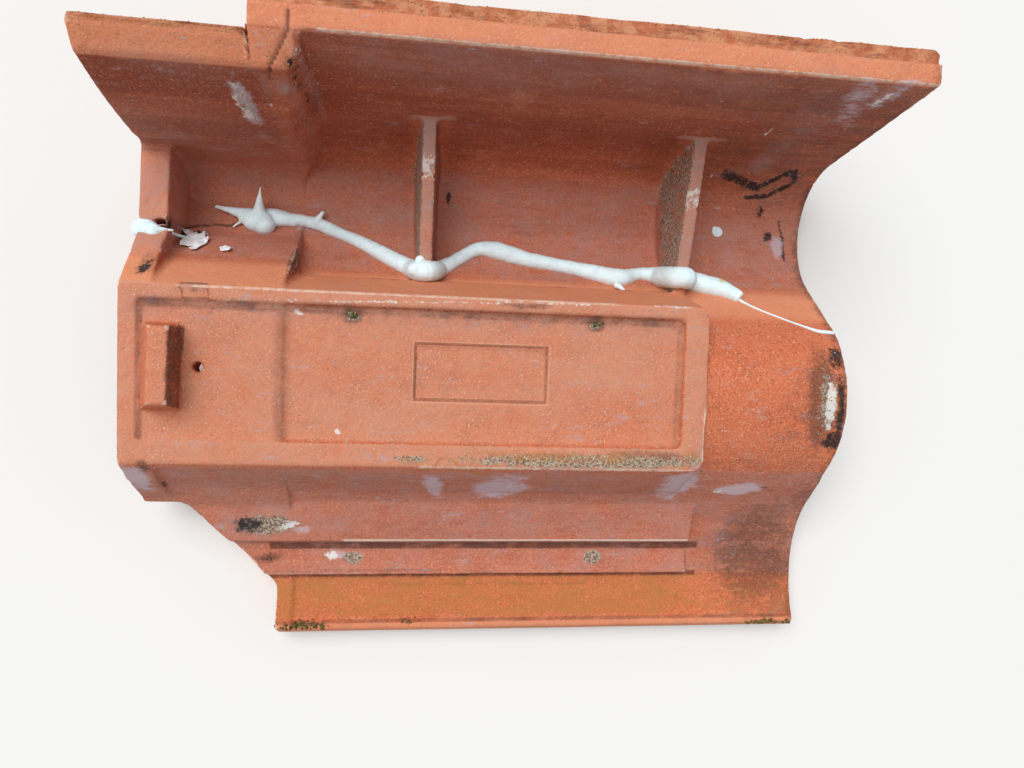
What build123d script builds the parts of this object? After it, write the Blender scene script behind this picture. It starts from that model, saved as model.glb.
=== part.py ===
from build123d import *

import os
from math import acos, asin, atan2, cos, degrees, hypot, radians, sin, sqrt, tan

# Clay verge pantile, lying face down, with the glue bead of an old repair.
# X runs along the tile from head to tail, Y across it towards the verge flange,
# Z up. It lies unheld on its two crowns, and the origin is the centre of its
# bounding box on the floor. Sections are drawn in their own frame: y counts
# from the foot of the flange roll and z is the height above the floor.

# Tile
TILE_LENGTH = 387.0
WALL = 14.0

# Flange roll: place of its centre across the tile and underside radius
ROLL_Y = 6.0
ROLL_R = 40.0

# Trough between the two rolls: its crest's height, and the straight slope up to it
TROUGH_R = 56.0
TROUGH_CREST = 74.5
TROUGH_SLOPE = 47.16

# Cover roll on the lock side, the slope down to it, and its edge beyond its middle
COVER_R = 70.0
COVER_SLOPE = 44.62
COVER_EDGE = 29.0
EDGE_ROUND = 2.5

# Verge flange of the main part, its lip measured from the roll's middle
LIP_FROM_ROLL = 50.5
LIP_HEIGHT = 143.0
LIP_WIDTH = 19.0
LIP_ROUND = 3.0
LIP_INNER_ROUND = 1.5
LIP_CORNER = 7.0

# Head part, drawn in so that the next course laps over it
HEAD_LENGTH = 78.0
HEAD_ROLL_Y = 9.0
HEAD_ROLL_R = 21.0
HEAD_CROWN_LIFT = 0.5
HEAD_LIP_FLARE = 13.0
HEAD_LIP_HEIGHT = 133.0
HEAD_FLOOR_LIFT = 1.5

# Shoulder where the flange steps from head part to main part
SHOULDER_WIDTH = 7.0
SHOULDER_RAMP = 15.0
SLOPE_RAMP = 4.0

# Closing rib along the head edge
HEAD_RIB_WIDTH = 15.5
HEAD_RIB_HEIGHT = 48.0
HEAD_RIB_KNEE_Y = -14.0
HEAD_RIB_KNEE_Z = 54.0
HEAD_RIM_KNEE = 10.5
HEAD_RIM_KNEE_DROP = 14.0

# Raised panel on the underside of the trough: its two long edges, measured
# from the trough's middle and from its crest
PANEL_TOP_REACH = 47.0
PANEL_TOP_RISE = 4.5
PANEL_FOOT_REACH = 41.5
PANEL_FOOT_DROP = 1.0
PANEL_FOOT_SLOPE = 62.5
PANEL_FROM_TAIL = 84.5
PANEL_CORNER = 6.0

# Field inside the panel's rim
FIELD_DEPTH = 3.2
FIELD_HEAD_RIM = 9.0
FIELD_TAIL_RIM = 13.5
FIELD_TOP_RIM = 6.5
FIELD_FOOT_RIM = 11.5
FIELD_DRAFT = 1.5
FIELD_CORNER = 3.0

# Sunken plate in the middle of the field
PLATE_FROM_HEAD = 144.5
PLATE_LENGTH = 70.0
PLATE_WIDTH = 30.0
PLATE_DEPTH = 1.4

# Hanging nib and nail hole
NIB_FROM_HEAD = 8.6
NIB_BASE_LENGTH = 22.0
NIB_TOP_LENGTH = 10.0
NIB_BASE_WIDTH = 44.5
NIB_TOP_WIDTH = 38.0
NIB_HEIGHT = 19.0
NIB_LEAN = 1.5
NIB_ROUND = 1.2
NIB_ROOT = 2.0
NAIL_FROM_HEAD = 37.5
NAIL_R = 2.4

# Line of nib, nail hole and plate, measured from the trough's middle
CENTRE_LINE = 7.0

# Stiffening ribs across the flange roll, each place measured from the head
RIB_PLACES = (149.0, 297.5)
RIB_TOP = 7.5
RIB_DRAFT = 5.0
RIB_FLANGE_Z = 72.0
RIB_TROUGH_Z = 43.0

# Two lock ribs under the cover roll, measured from the roll's middle
LOCK_FROM_TAIL = 72.0
LOCK_START = 47.0
LOCK_INNER = 22.5
LOCK_OUTER = 2.5
LOCK_GROOVE = 7.0
LOCK_GROOVE_FLOOR = 0.8
LOCK_HEIGHT = 6.5
LOCK_DRAFT = 1.0

# Lap corner cut out of the head end on the lock side
CUT_LENGTH = 69.0
CUT_FLAT = 21.0
CUT_DEPTH = 75.0
CUT_BEVEL = 50.0
CUT_ROUND = 8.0

# Crack along the roll, open at the head end
CRACK_HEAD_Y = -14.0
CRACK_END_Y = -3.0
CRACK_WIDTH = 2.6
CRACK_LENGTH = 44.0
CRACK_BEND = 20.0
CRACK_FLOOR = 13.0

# Glue squeezed out of the crack: bead along it and a blob at the head edge. The
# bead's route is given by places along the tile from the head and across it
BEAD_R = 4.6
BEAD_SIT = 2.6
LUMP_R = 9.5
BLOB_R = 6.0
BLOB_OUT = 5.0
BLOB_Z = 50.0
BEAD_ROUTE = (
    (54.5, 4.5),
    (62.5, 3.2),
    (75.5, 1.5),
    (93.5, -2.0),
    (105.5, -6.2),
    (116.5, -11.5),
    (128.5, -19.0),
    (139.5, -25.0),
    (145.0, -27.2),
    (153.0, -26.5),
    (159.0, -23.0),
    (171.0, -14.0),
    (181.5, -8.8),
    (194.5, -11.0),
    (211.5, -15.0),
    (231.5, -18.0),
    (251.5, -23.0),
    (265.5, -24.0),
    (280.5, -20.5),
    (288.5, -22.0),
    (293.5, -23.3),
    (301.5, -23.8),
    (307.5, -24.3),
    (326.5, -27.5),
    (336.5, -33.0),
)

SINK = 4.0
OVER = 30.0
REACH = 400.0
HEAD = -TILE_LENGTH / 2
TAIL = TILE_LENGTH / 2
STEP_X = HEAD + HEAD_LENGTH


def slope_across(radii, slope, rise):
    """Distance across from a roll's middle to the trough's, over a slope that touches both."""
    angle = radians(slope)
    return radii * sin(angle) + (radii * cos(angle) + rise) / tan(angle)


roll = (ROLL_Y, WALL + ROLL_R)
head_roll = (HEAD_ROLL_Y, HEAD_CROWN_LIFT + WALL + HEAD_ROLL_R)
trough_z = TROUGH_CREST - TROUGH_R
cover_z = WALL + COVER_R
trough = (ROLL_Y - slope_across(ROLL_R + TROUGH_R, TROUGH_SLOPE, trough_z - roll[1]), trough_z)
cover = (trough[0] - slope_across(TROUGH_R + COVER_R, COVER_SLOPE, trough_z - cover_z), cover_z)
cover_edge = cover[0] - COVER_EDGE
lip = (ROLL_Y + LIP_FROM_ROLL, LIP_HEIGHT)
lip_outer = (lip[0] + LIP_WIDTH, LIP_HEIGHT)
head_lip = (HEAD_ROLL_Y + HEAD_ROLL_R + HEAD_LIP_FLARE, HEAD_LIP_HEIGHT)
panel_top = (trough[0] + PANEL_TOP_REACH, TROUGH_CREST + PANEL_TOP_RISE)
panel_foot = (trough[0] - PANEL_FOOT_REACH, TROUGH_CREST - PANEL_FOOT_DROP)
centre_line = trough[0] + CENTRE_LINE
lock_start = cover[0] + LOCK_START
lock_inner = cover[0] + LOCK_INNER
lock_outer = cover[0] + LOCK_OUTER


def at(centre, radius, angle):
    """Point of a circle, with the angle in degrees."""
    return (centre[0] + radius * cos(radians(angle)), centre[1] + radius * sin(radians(angle)))


def bearing(start, end):
    """Direction in degrees, from 0 to 360, between two section points."""
    return degrees(atan2(end[1] - start[1], end[0] - start[0])) % 360


def spread(start, end):
    """Distance between two section points."""
    return hypot(end[0] - start[0], end[1] - start[1])


def down_onto(point, centre, radius):
    """Heading of a flange that comes down from a point and touches a roll."""
    return bearing(point, centre) + degrees(asin(radius / spread(point, centre)))


def up_from(centre, radius, point):
    """Heading of a slope that leaves a roll and ends at a point."""
    return bearing(centre, point) - degrees(asin(radius / spread(centre, point)))


def roll_to_trough(first, r_first, second, r_second):
    """Heading of the straight slope from a roll up to the trough."""
    return bearing(first, second) - degrees(asin((r_first + r_second) / spread(first, second)))


def trough_to_roll(first, r_first, second, r_second):
    """Heading of the straight slope from the trough down to a roll."""
    return bearing(first, second) + degrees(asin((r_first + r_second) / spread(first, second)))


def arc(centre, radius, start, end):
    """Arc of a circle between two angles in degrees."""
    return CenterArc(centre, radius, start, end - start)


def waves(flange_heading, first, r_first, r_trough, r_cover):
    """Edges of one surface, from the foot of the flange to the cover edge."""
    climb = roll_to_trough(first, r_first, trough, r_trough)
    fall = trough_to_roll(trough, r_trough, cover, r_cover)
    edge = 360 - degrees(acos(-COVER_EDGE / COVER_R))
    return [
        arc(first, r_first, flange_heading + 90, climb + 90),
        Line(at(first, r_first, climb + 90), at(trough, r_trough, climb - 90)),
        arc(trough, r_trough, climb - 90, fall - 90),
        Line(at(trough, r_trough, fall - 90), at(cover, r_cover, fall + 90)),
        arc(cover, r_cover, fall + 90, edge),
    ], at(cover, r_cover, edge)


def face(edges):
    """Face bounded by section edges."""
    return make_face(Curve() + edges)


def polygon(*points):
    """Face through section points."""
    return make_face(Polyline(*points, close=True))


def rounded(section, corners):
    """Face with a radius on some of its corners."""
    for corner, radius in corners:
        section = fillet(section.vertices().sort_by_distance((*corner, 0))[0], radius)
    return section


def along(section, start, end):
    """Solid of a section between two places along the tile."""
    placed = Plane(origin=(start, 0, 0), x_dir=(0, 1, 0), z_dir=(1, 0, 0)) * section
    return extrude(placed, amount=end - start, dir=(1, 0, 0))


def flare(centre, radius, top):
    """Radius of the curved flange wall that stands on a roll and ends at a point."""
    out = top[0] - centre[0] - radius
    rise = top[1] - centre[1]
    return (out**2 + rise**2) / (2 * out)


def main_section():
    """Wall of the main part: flange, flange roll, trough and cover roll."""
    inner_heading = down_onto(lip, roll, ROLL_R)
    outer_heading = down_onto(lip_outer, roll, ROLL_R + WALL)
    under, under_end = waves(inner_heading, roll, ROLL_R, TROUGH_R, COVER_R)
    weather, weather_end = waves(
        outer_heading, roll, ROLL_R + WALL, TROUGH_R - WALL, COVER_R + WALL
    )
    wall = face(
        [Line(lip, at(roll, ROLL_R, inner_heading + 90))]
        + under
        + [Line(under_end, weather_end)]
        + weather
        + [Line(at(roll, ROLL_R + WALL, outer_heading + 90), lip_outer), Line(lip_outer, lip)]
    )
    corners = [
        (lip, LIP_INNER_ROUND),
        (lip_outer, LIP_ROUND),
        (under_end, EDGE_ROUND),
        (weather_end, EDGE_ROUND),
    ]
    return rounded(wall, corners)


def head_flange(radius_change):
    """Curved flange wall of the head part and its upper end."""
    bend = flare(head_roll, HEAD_ROLL_R, head_lip)
    centre = (head_roll[0] + HEAD_ROLL_R + bend, head_roll[1])
    rise = degrees(asin((HEAD_LIP_HEIGHT - head_roll[1]) / bend))
    wall = arc(centre, bend - radius_change, 180, 180 - rise)
    return wall, at(centre, bend - radius_change, 180 - rise)


def head_section():
    """Wall of the head part."""
    under, under_end = waves(
        270, head_roll, HEAD_ROLL_R, TROUGH_R + HEAD_FLOOR_LIFT, COVER_R - HEAD_FLOOR_LIFT
    )
    weather, weather_end = waves(
        270, head_roll, HEAD_ROLL_R + WALL, TROUGH_R - WALL, COVER_R + WALL
    )
    inner, inner_top = head_flange(0)
    outer, outer_top = head_flange(WALL)
    wall = face(
        [inner]
        + under
        + [Line(under_end, weather_end)]
        + weather
        + [outer, Line(outer_top, inner_top)]
    )
    corners = [
        (inner_top, LIP_INNER_ROUND),
        (outer_top, LIP_INNER_ROUND),
        (under_end, EDGE_ROUND),
        (weather_end, EDGE_ROUND),
    ]
    return rounded(wall, corners)


def main_channel():
    """Open space in the flange roll of the main part, up to lip and panel."""
    drop = down_onto(lip, roll, ROLL_R)
    climb = up_from(roll, ROLL_R, panel_top)
    return face(
        [
            Line(lip, at(roll, ROLL_R, drop + 90)),
            arc(roll, ROLL_R, drop + 90, climb + 90),
            Line(at(roll, ROLL_R, climb + 90), panel_top),
            Line(panel_top, lip),
        ]
    )


def head_channel():
    """Open space in the flange roll of the head part, up to lip and panel."""
    climb = up_from(head_roll, HEAD_ROLL_R, panel_top)
    wall, wall_top = head_flange(0)
    return face(
        [
            wall,
            arc(head_roll, HEAD_ROLL_R, 360, climb + 90),
            Line(at(head_roll, HEAD_ROLL_R, climb + 90), panel_top),
            Line(panel_top, wall_top),
        ]
    )


def crossing(p, p_heading, q, q_heading):
    """Point where two section lines meet, each given by a point and a heading."""
    a = radians(p_heading)
    b = radians(q_heading)
    reach = ((q[0] - p[0]) * sin(b) - (q[1] - p[1]) * cos(b)) / sin(b - a)
    return (p[0] + reach * cos(a), p[1] + reach * sin(a))


def cover_height(y, depth=0.0):
    """Height of the cover roll's underside at a place across, or of a layer below it."""
    return cover[1] - sqrt((COVER_R + depth) ** 2 - (y - cover[0]) ** 2)


def panel_z(y, depth=0.0):
    """Height of the panel's tilted top across the tile, or of a floor sunk into it."""
    rise = (panel_top[1] - panel_foot[1]) / (panel_top[0] - panel_foot[0])
    return panel_foot[1] + rise * (y - panel_foot[0]) - depth


def wall_core(centre, radius):
    """Everything below the middle of the wall, for a given flange roll."""
    core, core_end = waves(
        270, centre, radius + WALL / 2, TROUGH_R - WALL / 2, COVER_R + WALL / 2
    )
    core_start = at(centre, radius + WALL / 2, 0)
    low_start = (core_start[0], -REACH)
    low_end = (core_end[0], -REACH)
    return face(
        core + [Line(core_end, low_end), Line(low_end, low_start), Line(low_start, core_start)]
    )


def panel_block(centre, radius, start, end, rounded):
    """Panel on the trough's back: flat top, steep side into the roll, sloping foot."""
    climb = up_from(centre, radius, panel_top)
    fall = trough_to_roll(trough, TROUGH_R, cover, COVER_R)
    touch = at(centre, radius, climb + 90)
    foot = crossing(
        panel_foot, 180 + PANEL_FOOT_SLOPE, at(trough, TROUGH_R, fall - 90), fall
    )
    outline = polygon(
        panel_top,
        touch,
        at(touch, SINK, climb + 90),
        trough,
        at(foot, SINK, fall + 90),
        foot,
        panel_foot,
    )
    slab = along(outline, start, end)
    if rounded:
        sides = [(panel_top, touch), (panel_foot, foot)]
        corners = [
            slab.edges().sort_by_distance((end, (a[0] + b[0]) / 2, (a[1] + b[1]) / 2))[0]
            for a, b in sides
        ]
        slab = fillet(corners, PANEL_CORNER)
    return slab - along(wall_core(centre, radius), start - OVER, end + OVER)


def field_hollow(depth, start, end, rounded_end):
    """Hollow of the panel's field, following its tilted top, with two rounded corners."""
    top = panel_top[0] - FIELD_TOP_RIM
    foot = panel_foot[0] + FIELD_FOOT_RIM
    outline = polygon(
        (top + FIELD_DRAFT, panel_z(top, -depth)),
        (top - FIELD_DRAFT, panel_z(top, depth)),
        (foot + FIELD_DRAFT, panel_z(foot, depth)),
        (foot - FIELD_DRAFT, panel_z(foot, -depth)),
    )
    hollow = along(outline, start, end)
    corners = [
        hollow.edges().sort_by_distance((rounded_end, side, panel_z(side)))[0]
        for side in (top, foot)
    ]
    return fillet(corners, FIELD_CORNER)


def plate_section(floor, depth):
    """Hollow of the plate, sunk below the floor of the field."""
    top = centre_line + PLATE_WIDTH / 2
    foot = centre_line - PLATE_WIDTH / 2
    return polygon(
        (top, panel_z(top, floor - depth)),
        (top, panel_z(top, floor + depth)),
        (foot, panel_z(foot, floor + depth)),
        (foot, panel_z(foot, floor - depth)),
    )


def lock_section():
    """Two lock ribs with the groove between them, rooted in the cover roll."""
    groove_end = lock_inner - LOCK_GROOVE
    outer_foot = lock_outer - LOCK_DRAFT
    return polygon(
        (lock_start, cover_height(lock_start)),
        (lock_inner, cover_height(lock_inner) + LOCK_HEIGHT),
        (lock_inner - LOCK_DRAFT, cover_height(lock_inner) + LOCK_GROOVE_FLOOR),
        (groove_end, cover_height(groove_end) + LOCK_GROOVE_FLOOR),
        (lock_outer, cover_height(lock_outer) + LOCK_HEIGHT),
        (outer_foot, cover_height(outer_foot)),
        (outer_foot, cover_height(outer_foot, SINK)),
        (lock_inner, cover_height(lock_inner, SINK)),
        (lock_start, cover_height(lock_start, SINK)),
    )


def half_space(a, b, c):
    """Large block behind a plane, on the side that its normal points away from."""
    normal = (Vector(*b) - Vector(*a)).cross(Vector(*c) - Vector(*a))
    side = Plane(origin=a, z_dir=normal)
    return side * Box(REACH * 2, REACH * 2, REACH, align=(Align.CENTER, Align.CENTER, Align.MAX))


def shoulder():
    """Filling between the narrow head channel and the wide main one, and its ramps."""
    between = main_channel() - head_channel() - polygon(panel_top, head_lip, lip)
    block = along(between, STEP_X - SHOULDER_WIDTH, STEP_X)
    ramp = along(between, STEP_X, STEP_X + SHOULDER_RAMP)
    low = (head_roll[0] + HEAD_ROLL_R, head_roll[1])
    far = (roll[0] + ROLL_R, low[1])
    flange_side = half_space(
        (STEP_X, *low), (STEP_X, *head_lip), (STEP_X + SHOULDER_RAMP, *far)
    )
    climb = up_from(head_roll, HEAD_ROLL_R, panel_top)
    touch = at(head_roll, HEAD_ROLL_R, climb + 90)
    slope_side = half_space(
        (STEP_X, *panel_top),
        (STEP_X, *touch),
        (STEP_X + SLOPE_RAMP, panel_top[0] - ROLL_R + HEAD_ROLL_R, panel_top[1]),
    )
    return block + (ramp & flange_side) + (ramp & slope_side)


def head_rib():
    """Rib that closes the flange roll along the head edge, and the rim below the panel."""
    below = polygon(
        (REACH, HEAD_RIB_HEIGHT),
        (HEAD_RIB_KNEE_Y, HEAD_RIB_KNEE_Z),
        panel_top,
        (-REACH, panel_top[1]),
        (-REACH, -REACH),
        (REACH, -REACH),
    )
    rib = offset(head_channel(), SINK) & below
    rim = polygon(
        panel_foot,
        (panel_foot[0] - HEAD_RIM_KNEE, panel_foot[1] - HEAD_RIM_KNEE_DROP),
        (lock_start, cover_height(lock_start)),
        (lock_start, cover_height(lock_start, SINK)),
        (panel_foot[0], panel_foot[1] - WALL),
    )
    return along(rib, HEAD, HEAD + HEAD_RIB_WIDTH) + along(rim, HEAD, HEAD + HEAD_RIB_WIDTH)


def stiffener(place):
    """Drafted rib across the flange roll, from the flange down to the trough slope."""
    drop = down_onto(lip, roll, ROLL_R)
    climb = up_from(roll, ROLL_R, panel_top)
    high = crossing(lip, drop, (0, RIB_FLANGE_Z), 0)
    low = crossing(panel_top, climb, (0, RIB_TROUGH_Z), 0)
    heading = bearing(low, high)
    below = polygon(
        at(low, -REACH, heading),
        at(high, REACH, heading),
        (REACH, -REACH),
        (-REACH, -REACH),
    )
    plate = along(
        offset(main_channel(), SINK) & below,
        place - RIB_TOP - RIB_DRAFT,
        place + RIB_TOP + RIB_DRAFT,
    )
    depth = RIB_FLANGE_Z - WALL
    crest = (0, cos(radians(heading)), sin(radians(heading)))
    spine = Plane(origin=(place, *low), x_dir=(1, 0, 0), z_dir=crest)
    half = RIB_TOP / 2
    wedge = spine * polygon(
        (-half, 0), (half, 0), (half + RIB_DRAFT, depth), (-half - RIB_DRAFT, depth)
    )
    return plate & extrude(wedge, amount=REACH / 2, both=True)


def nib():
    """Hanging nib: steep on the batten side, sloping towards the head."""
    floor = panel_z(centre_line, FIELD_DEPTH)
    start = HEAD + NIB_FROM_HEAD
    end = start + NIB_BASE_LENGTH
    low = floor - SINK
    high = floor + NIB_HEIGHT
    side = polygon(
        (start, low),
        (end, low),
        (end - NIB_LEAN, high),
        (end - NIB_LEAN - NIB_TOP_LENGTH, high),
    )
    front = polygon(
        (centre_line - NIB_BASE_WIDTH / 2, low),
        (centre_line + NIB_BASE_WIDTH / 2, low),
        (centre_line + NIB_TOP_WIDTH / 2, high),
        (centre_line - NIB_TOP_WIDTH / 2, high),
    )
    body = extrude(Plane.XZ * side, amount=REACH, both=True) & along(front, start, end)
    crest = body.faces().sort_by(Axis.Z)[-1]
    return fillet(crest.edges(), NIB_ROUND)


def rooted(body):
    """The tile with a fillet round the nib's root, on the floor of the field."""
    start = HEAD + NIB_FROM_HEAD
    half = NIB_BASE_WIDTH / 2
    floor = FIELD_DEPTH - HEAD_FLOOR_LIFT
    places = [
        (start + NIB_BASE_LENGTH, centre_line),
        (start + NIB_BASE_LENGTH / 2, centre_line + half),
        (start + NIB_BASE_LENGTH / 2, centre_line - half),
    ]
    root = [body.edges().sort_by_distance((x, y, panel_z(y, floor)))[0] for x, y in places]
    return fillet(root, NIB_ROOT)


def lap_corner():
    """Plan shape cut away at the head end so that four tiles can lap."""
    high = cover_edge + CUT_DEPTH
    low = high - CUT_BEVEL
    bends = [(HEAD + CUT_FLAT, high), (HEAD + CUT_LENGTH, low)]
    cut = polygon(
        (HEAD - OVER, high), *bends, (HEAD + CUT_LENGTH, -REACH), (HEAD - OVER, -REACH)
    )
    return extrude(rounded(cut, [(bend, CUT_ROUND) for bend in bends]), amount=REACH)


def lip_corner():
    """Plan shape cut from the tail corner of the verge lip to round it."""
    bend = Pos(TAIL - LIP_CORNER, lip_outer[0] - LIP_CORNER)
    square = bend * Rectangle(OVER, OVER, align=(Align.MIN, Align.MIN))
    return extrude(square - bend * Circle(LIP_CORNER), amount=REACH)


def crack():
    """Narrow gap along the roll, widest at the head edge."""
    bend = (HEAD + CRACK_BEND, (CRACK_HEAD_Y + CRACK_END_Y) / 2)
    half = CRACK_WIDTH / 2
    gap = polygon(
        (HEAD - OVER, CRACK_HEAD_Y - half),
        (bend[0], bend[1] - half),
        (HEAD + CRACK_LENGTH, CRACK_END_Y),
        (bend[0], bend[1] + half),
        (HEAD - OVER, CRACK_HEAD_Y + half),
    )
    return Pos(0, 0, CRACK_FLOOR) * extrude(gap, amount=REACH)


def roof_tile():
    """The whole fired tile, one piece."""
    panel_end = TAIL - PANEL_FROM_TAIL
    body = along(main_section(), STEP_X - SHOULDER_WIDTH, TAIL)
    body += along(head_section(), HEAD, STEP_X)
    body += shoulder()
    body += panel_block(head_roll, HEAD_ROLL_R, HEAD, STEP_X, False)
    body += panel_block(roll, ROLL_R, STEP_X, panel_end, True)
    body += head_rib()
    body += along(lock_section(), HEAD, TAIL - LOCK_FROM_TAIL)
    for place in RIB_PLACES:
        body += stiffener(HEAD + place)
    field_start = HEAD + FIELD_HEAD_RIM
    field_end = panel_end - FIELD_TAIL_RIM
    body -= field_hollow(FIELD_DEPTH, STEP_X, field_end, field_end)
    body -= field_hollow(FIELD_DEPTH - HEAD_FLOOR_LIFT, field_start, STEP_X, field_start)
    plate_start = HEAD + PLATE_FROM_HEAD
    body -= along(plate_section(FIELD_DEPTH, PLATE_DEPTH), plate_start, plate_start + PLATE_LENGTH)
    body = rooted(body + nib())
    body -= lap_corner()
    body -= lip_corner()
    body -= crack()
    body -= Pos(HEAD + NAIL_FROM_HEAD, centre_line, 0) * Cylinder(
        NAIL_R, REACH, align=(Align.CENTER, Align.CENTER, Align.MIN)
    )
    return body


def surface_z(tile, x, y):
    """Height of the tile's upper surface at a place."""
    hits = tile.find_intersection_points(Axis((x, y, REACH), (0, 0, -1)))
    return max(point.Z for point, _ in hits)


def adhesive_bead(tile):
    """Bead of glue that follows the tile's surface along the crack, with a lump at its head."""
    places = [(HEAD + x, y, surface_z(tile, HEAD + x, y) + BEAD_SIT) for x, y in BEAD_ROUTE]
    path = Polyline(*places)
    section = Plane(origin=path @ 0, z_dir=path % 0) * Circle(BEAD_R)
    strand = sweep(section, path=path, transition=Transition.RIGHT) - tile
    lump = Pos(*places[0]) * Sphere(LUMP_R) - tile
    return strand + lump


def adhesive_blob(tile):
    """Blob of glue pushed out of the crack at the head edge."""
    ball = Pos(HEAD - BLOB_OUT + BLOB_R, CRACK_HEAD_Y, BLOB_Z) * Sphere(BLOB_R)
    return ball - tile


def write(name, shape, shift):
    """Write one piece as its own file, moved to the shared origin."""
    export_step(shift * shape, os.path.join("parts", name + ".step"))


os.makedirs("parts", exist_ok=True)
tile = roof_tile()
bead = adhesive_bead(tile)
blob = adhesive_blob(tile)
box = Compound([tile, bead, blob]).bounding_box()
shift = Pos(-box.center().X, -box.center().Y, -box.min.Z)
write("roof_tile", tile, shift)
write("adhesive_bead", bead, shift)
write("adhesive_blob", blob, shift)
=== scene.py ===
from math import cos, radians, sin

import bmesh
import bpy
import numpy as np
from mathutils import Matrix, Vector
from mathutils.bvhtree import BVHTree


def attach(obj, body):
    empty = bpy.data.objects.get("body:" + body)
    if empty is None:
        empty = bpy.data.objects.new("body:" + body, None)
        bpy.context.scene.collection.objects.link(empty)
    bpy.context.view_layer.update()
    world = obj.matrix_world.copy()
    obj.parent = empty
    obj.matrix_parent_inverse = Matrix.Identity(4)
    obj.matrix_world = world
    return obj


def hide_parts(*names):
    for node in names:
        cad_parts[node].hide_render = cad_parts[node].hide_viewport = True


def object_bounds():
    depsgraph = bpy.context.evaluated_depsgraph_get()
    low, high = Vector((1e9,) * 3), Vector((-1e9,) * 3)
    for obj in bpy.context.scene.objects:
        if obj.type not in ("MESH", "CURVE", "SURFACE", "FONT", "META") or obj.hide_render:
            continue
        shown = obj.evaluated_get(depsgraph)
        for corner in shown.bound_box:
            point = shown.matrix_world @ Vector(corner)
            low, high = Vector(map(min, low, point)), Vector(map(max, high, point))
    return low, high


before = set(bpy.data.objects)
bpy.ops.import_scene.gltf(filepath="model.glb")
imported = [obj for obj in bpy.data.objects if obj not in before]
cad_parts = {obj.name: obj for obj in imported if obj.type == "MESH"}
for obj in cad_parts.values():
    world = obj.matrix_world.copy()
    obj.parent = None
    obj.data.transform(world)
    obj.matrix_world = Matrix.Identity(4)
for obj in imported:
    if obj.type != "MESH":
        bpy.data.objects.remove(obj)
CAD_LOW, CAD_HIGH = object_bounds()

bl_info = {
    "name": "Weathered roof tile",
    "version": (1, 0, 0),
    "blender": (4, 5, 0),
    "location": "3D View > Sidebar > Roof tile",
    "description": "Worn fired clay, repair glue, moss and mortar on a verge pantile",
    "category": "Object",
}

MM = 0.001

# Lines of the tile in the shared frame, in millimetres
HEAD = -191.0
TAIL = 196.0
LIP_IN = 138.5
LIP_OUT = 157.5
LIP_TOP = 143.0
STEP = -113.0
PANEL_TAIL = 111.5
PANEL_TOP = 37.0
PANEL_FOOT = -51.5
PLATE = (-11.5, -2.0, 35.0, 15.0)
ROLL_MIDDLE = 88.0
SHOULDER = STEP - 7.4
RIM_HEAD = -181.0
RIM_TAIL = 97.0
RIM_TOP = 29.0
RIM_FOOT = -39.0
GROOVE = -102.4
LOCK = -121.2
CHANNEL_RIM = -147.6

# Cross ribs of the channel: x of the middle, y of the old crack line
RIBS = ((-42.0, 103.5), (106.5, 96.5))

# Marks larger than this, in square millimetres, don't keep their fine mesh
BROAD_MARK = 400


def clay_linear(red, green, blue):
    """Linear colour from 0 to 255 values."""
    return tuple(
        v / 12.92 if v <= 0.04045 else ((v + 0.055) / 1.055) ** 2.4
        for v in (red / 255, green / 255, blue / 255)
    )


# Uneven surfaces


def lattice(cell, seed):
    """Random value of each lattice corner, the same on every run."""
    i, j, k = (cell[:, n].astype(np.int64) for n in range(3))
    h = (i * 374761393 + j * 668265263 + k * 2147483647 + seed * 1274126177) & 0xFFFFFFFF
    h = ((h ^ (h >> 13)) * 1274126177) & 0xFFFFFFFF
    h = ((h ^ (h >> 16)) * 2246822519) & 0xFFFFFFFF
    return ((h ^ (h >> 15)) & 0xFFFFFF) / 0xFFFFFF


def swell(points, size, seed=0):
    """Smooth uneven value from 0 to 1 at points, with lumps of a size in the points' unit."""
    p = points / np.asarray(size, float)
    cell = np.floor(p)
    f = p - cell
    f = f * f * (3 - 2 * f)
    total = np.zeros(len(p))
    for dx in (0, 1):
        wx = f[:, 0] if dx else 1 - f[:, 0]
        for dy in (0, 1):
            wy = f[:, 1] if dy else 1 - f[:, 1]
            for dz in (0, 1):
                wz = f[:, 2] if dz else 1 - f[:, 2]
                total += wx * wy * wz * lattice(cell + (dx, dy, dz), seed)
    return total


def rough(points, size, seed=0, layers=3):
    """Uneven value from 0 to 1 with finer lumps on top of coarse ones."""
    total = np.zeros(len(points))
    weight = 1.0
    whole = 0.0
    for layer in range(layers):
        total += weight * swell(points, np.asarray(size, float) / 2**layer, seed + 7 * layer)
        whole += weight
        weight *= 0.5
    return total / whole


def ease(value, low, high):
    """Smooth step from 0 at low to 1 at high."""
    t = np.clip((value - low) / (high - low), 0, 1)
    return t * t * (3 - 2 * t)


def band(value, low, high, soft):
    """1 between two values, easing to 0 outside them."""
    return ease(value, low - soft, low) * (1 - ease(value, high, high + soft))


def spot(points, x, y, rx, ry, turn=0.0):
    """1 in the middle of a turned oval seen from above, 0 outside it."""
    c, s = cos(radians(turn)), sin(radians(turn))
    dx, dy = points[:, 0] - x, points[:, 1] - y
    far = np.hypot((dx * c + dy * s) / rx, (dy * c - dx * s) / ry)
    return 1 - ease(far, 0.25, 1.25)


def stroke(points, line, width):
    """1 along a bent line seen from above, 0 away from it."""
    far = np.full(len(points), 1e9)
    place = points[:, :2]
    for start, end in zip(line, line[1:]):
        a, b = np.array(start), np.array(end)
        run = b - a
        t = np.clip((place - a) @ run / (run @ run), 0, 1)
        far = np.minimum(far, np.linalg.norm(place - a - t[:, None] * run, axis=1))
    return 1 - ease(far, width * 0.3, width * 0.95)


# Meshes


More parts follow.
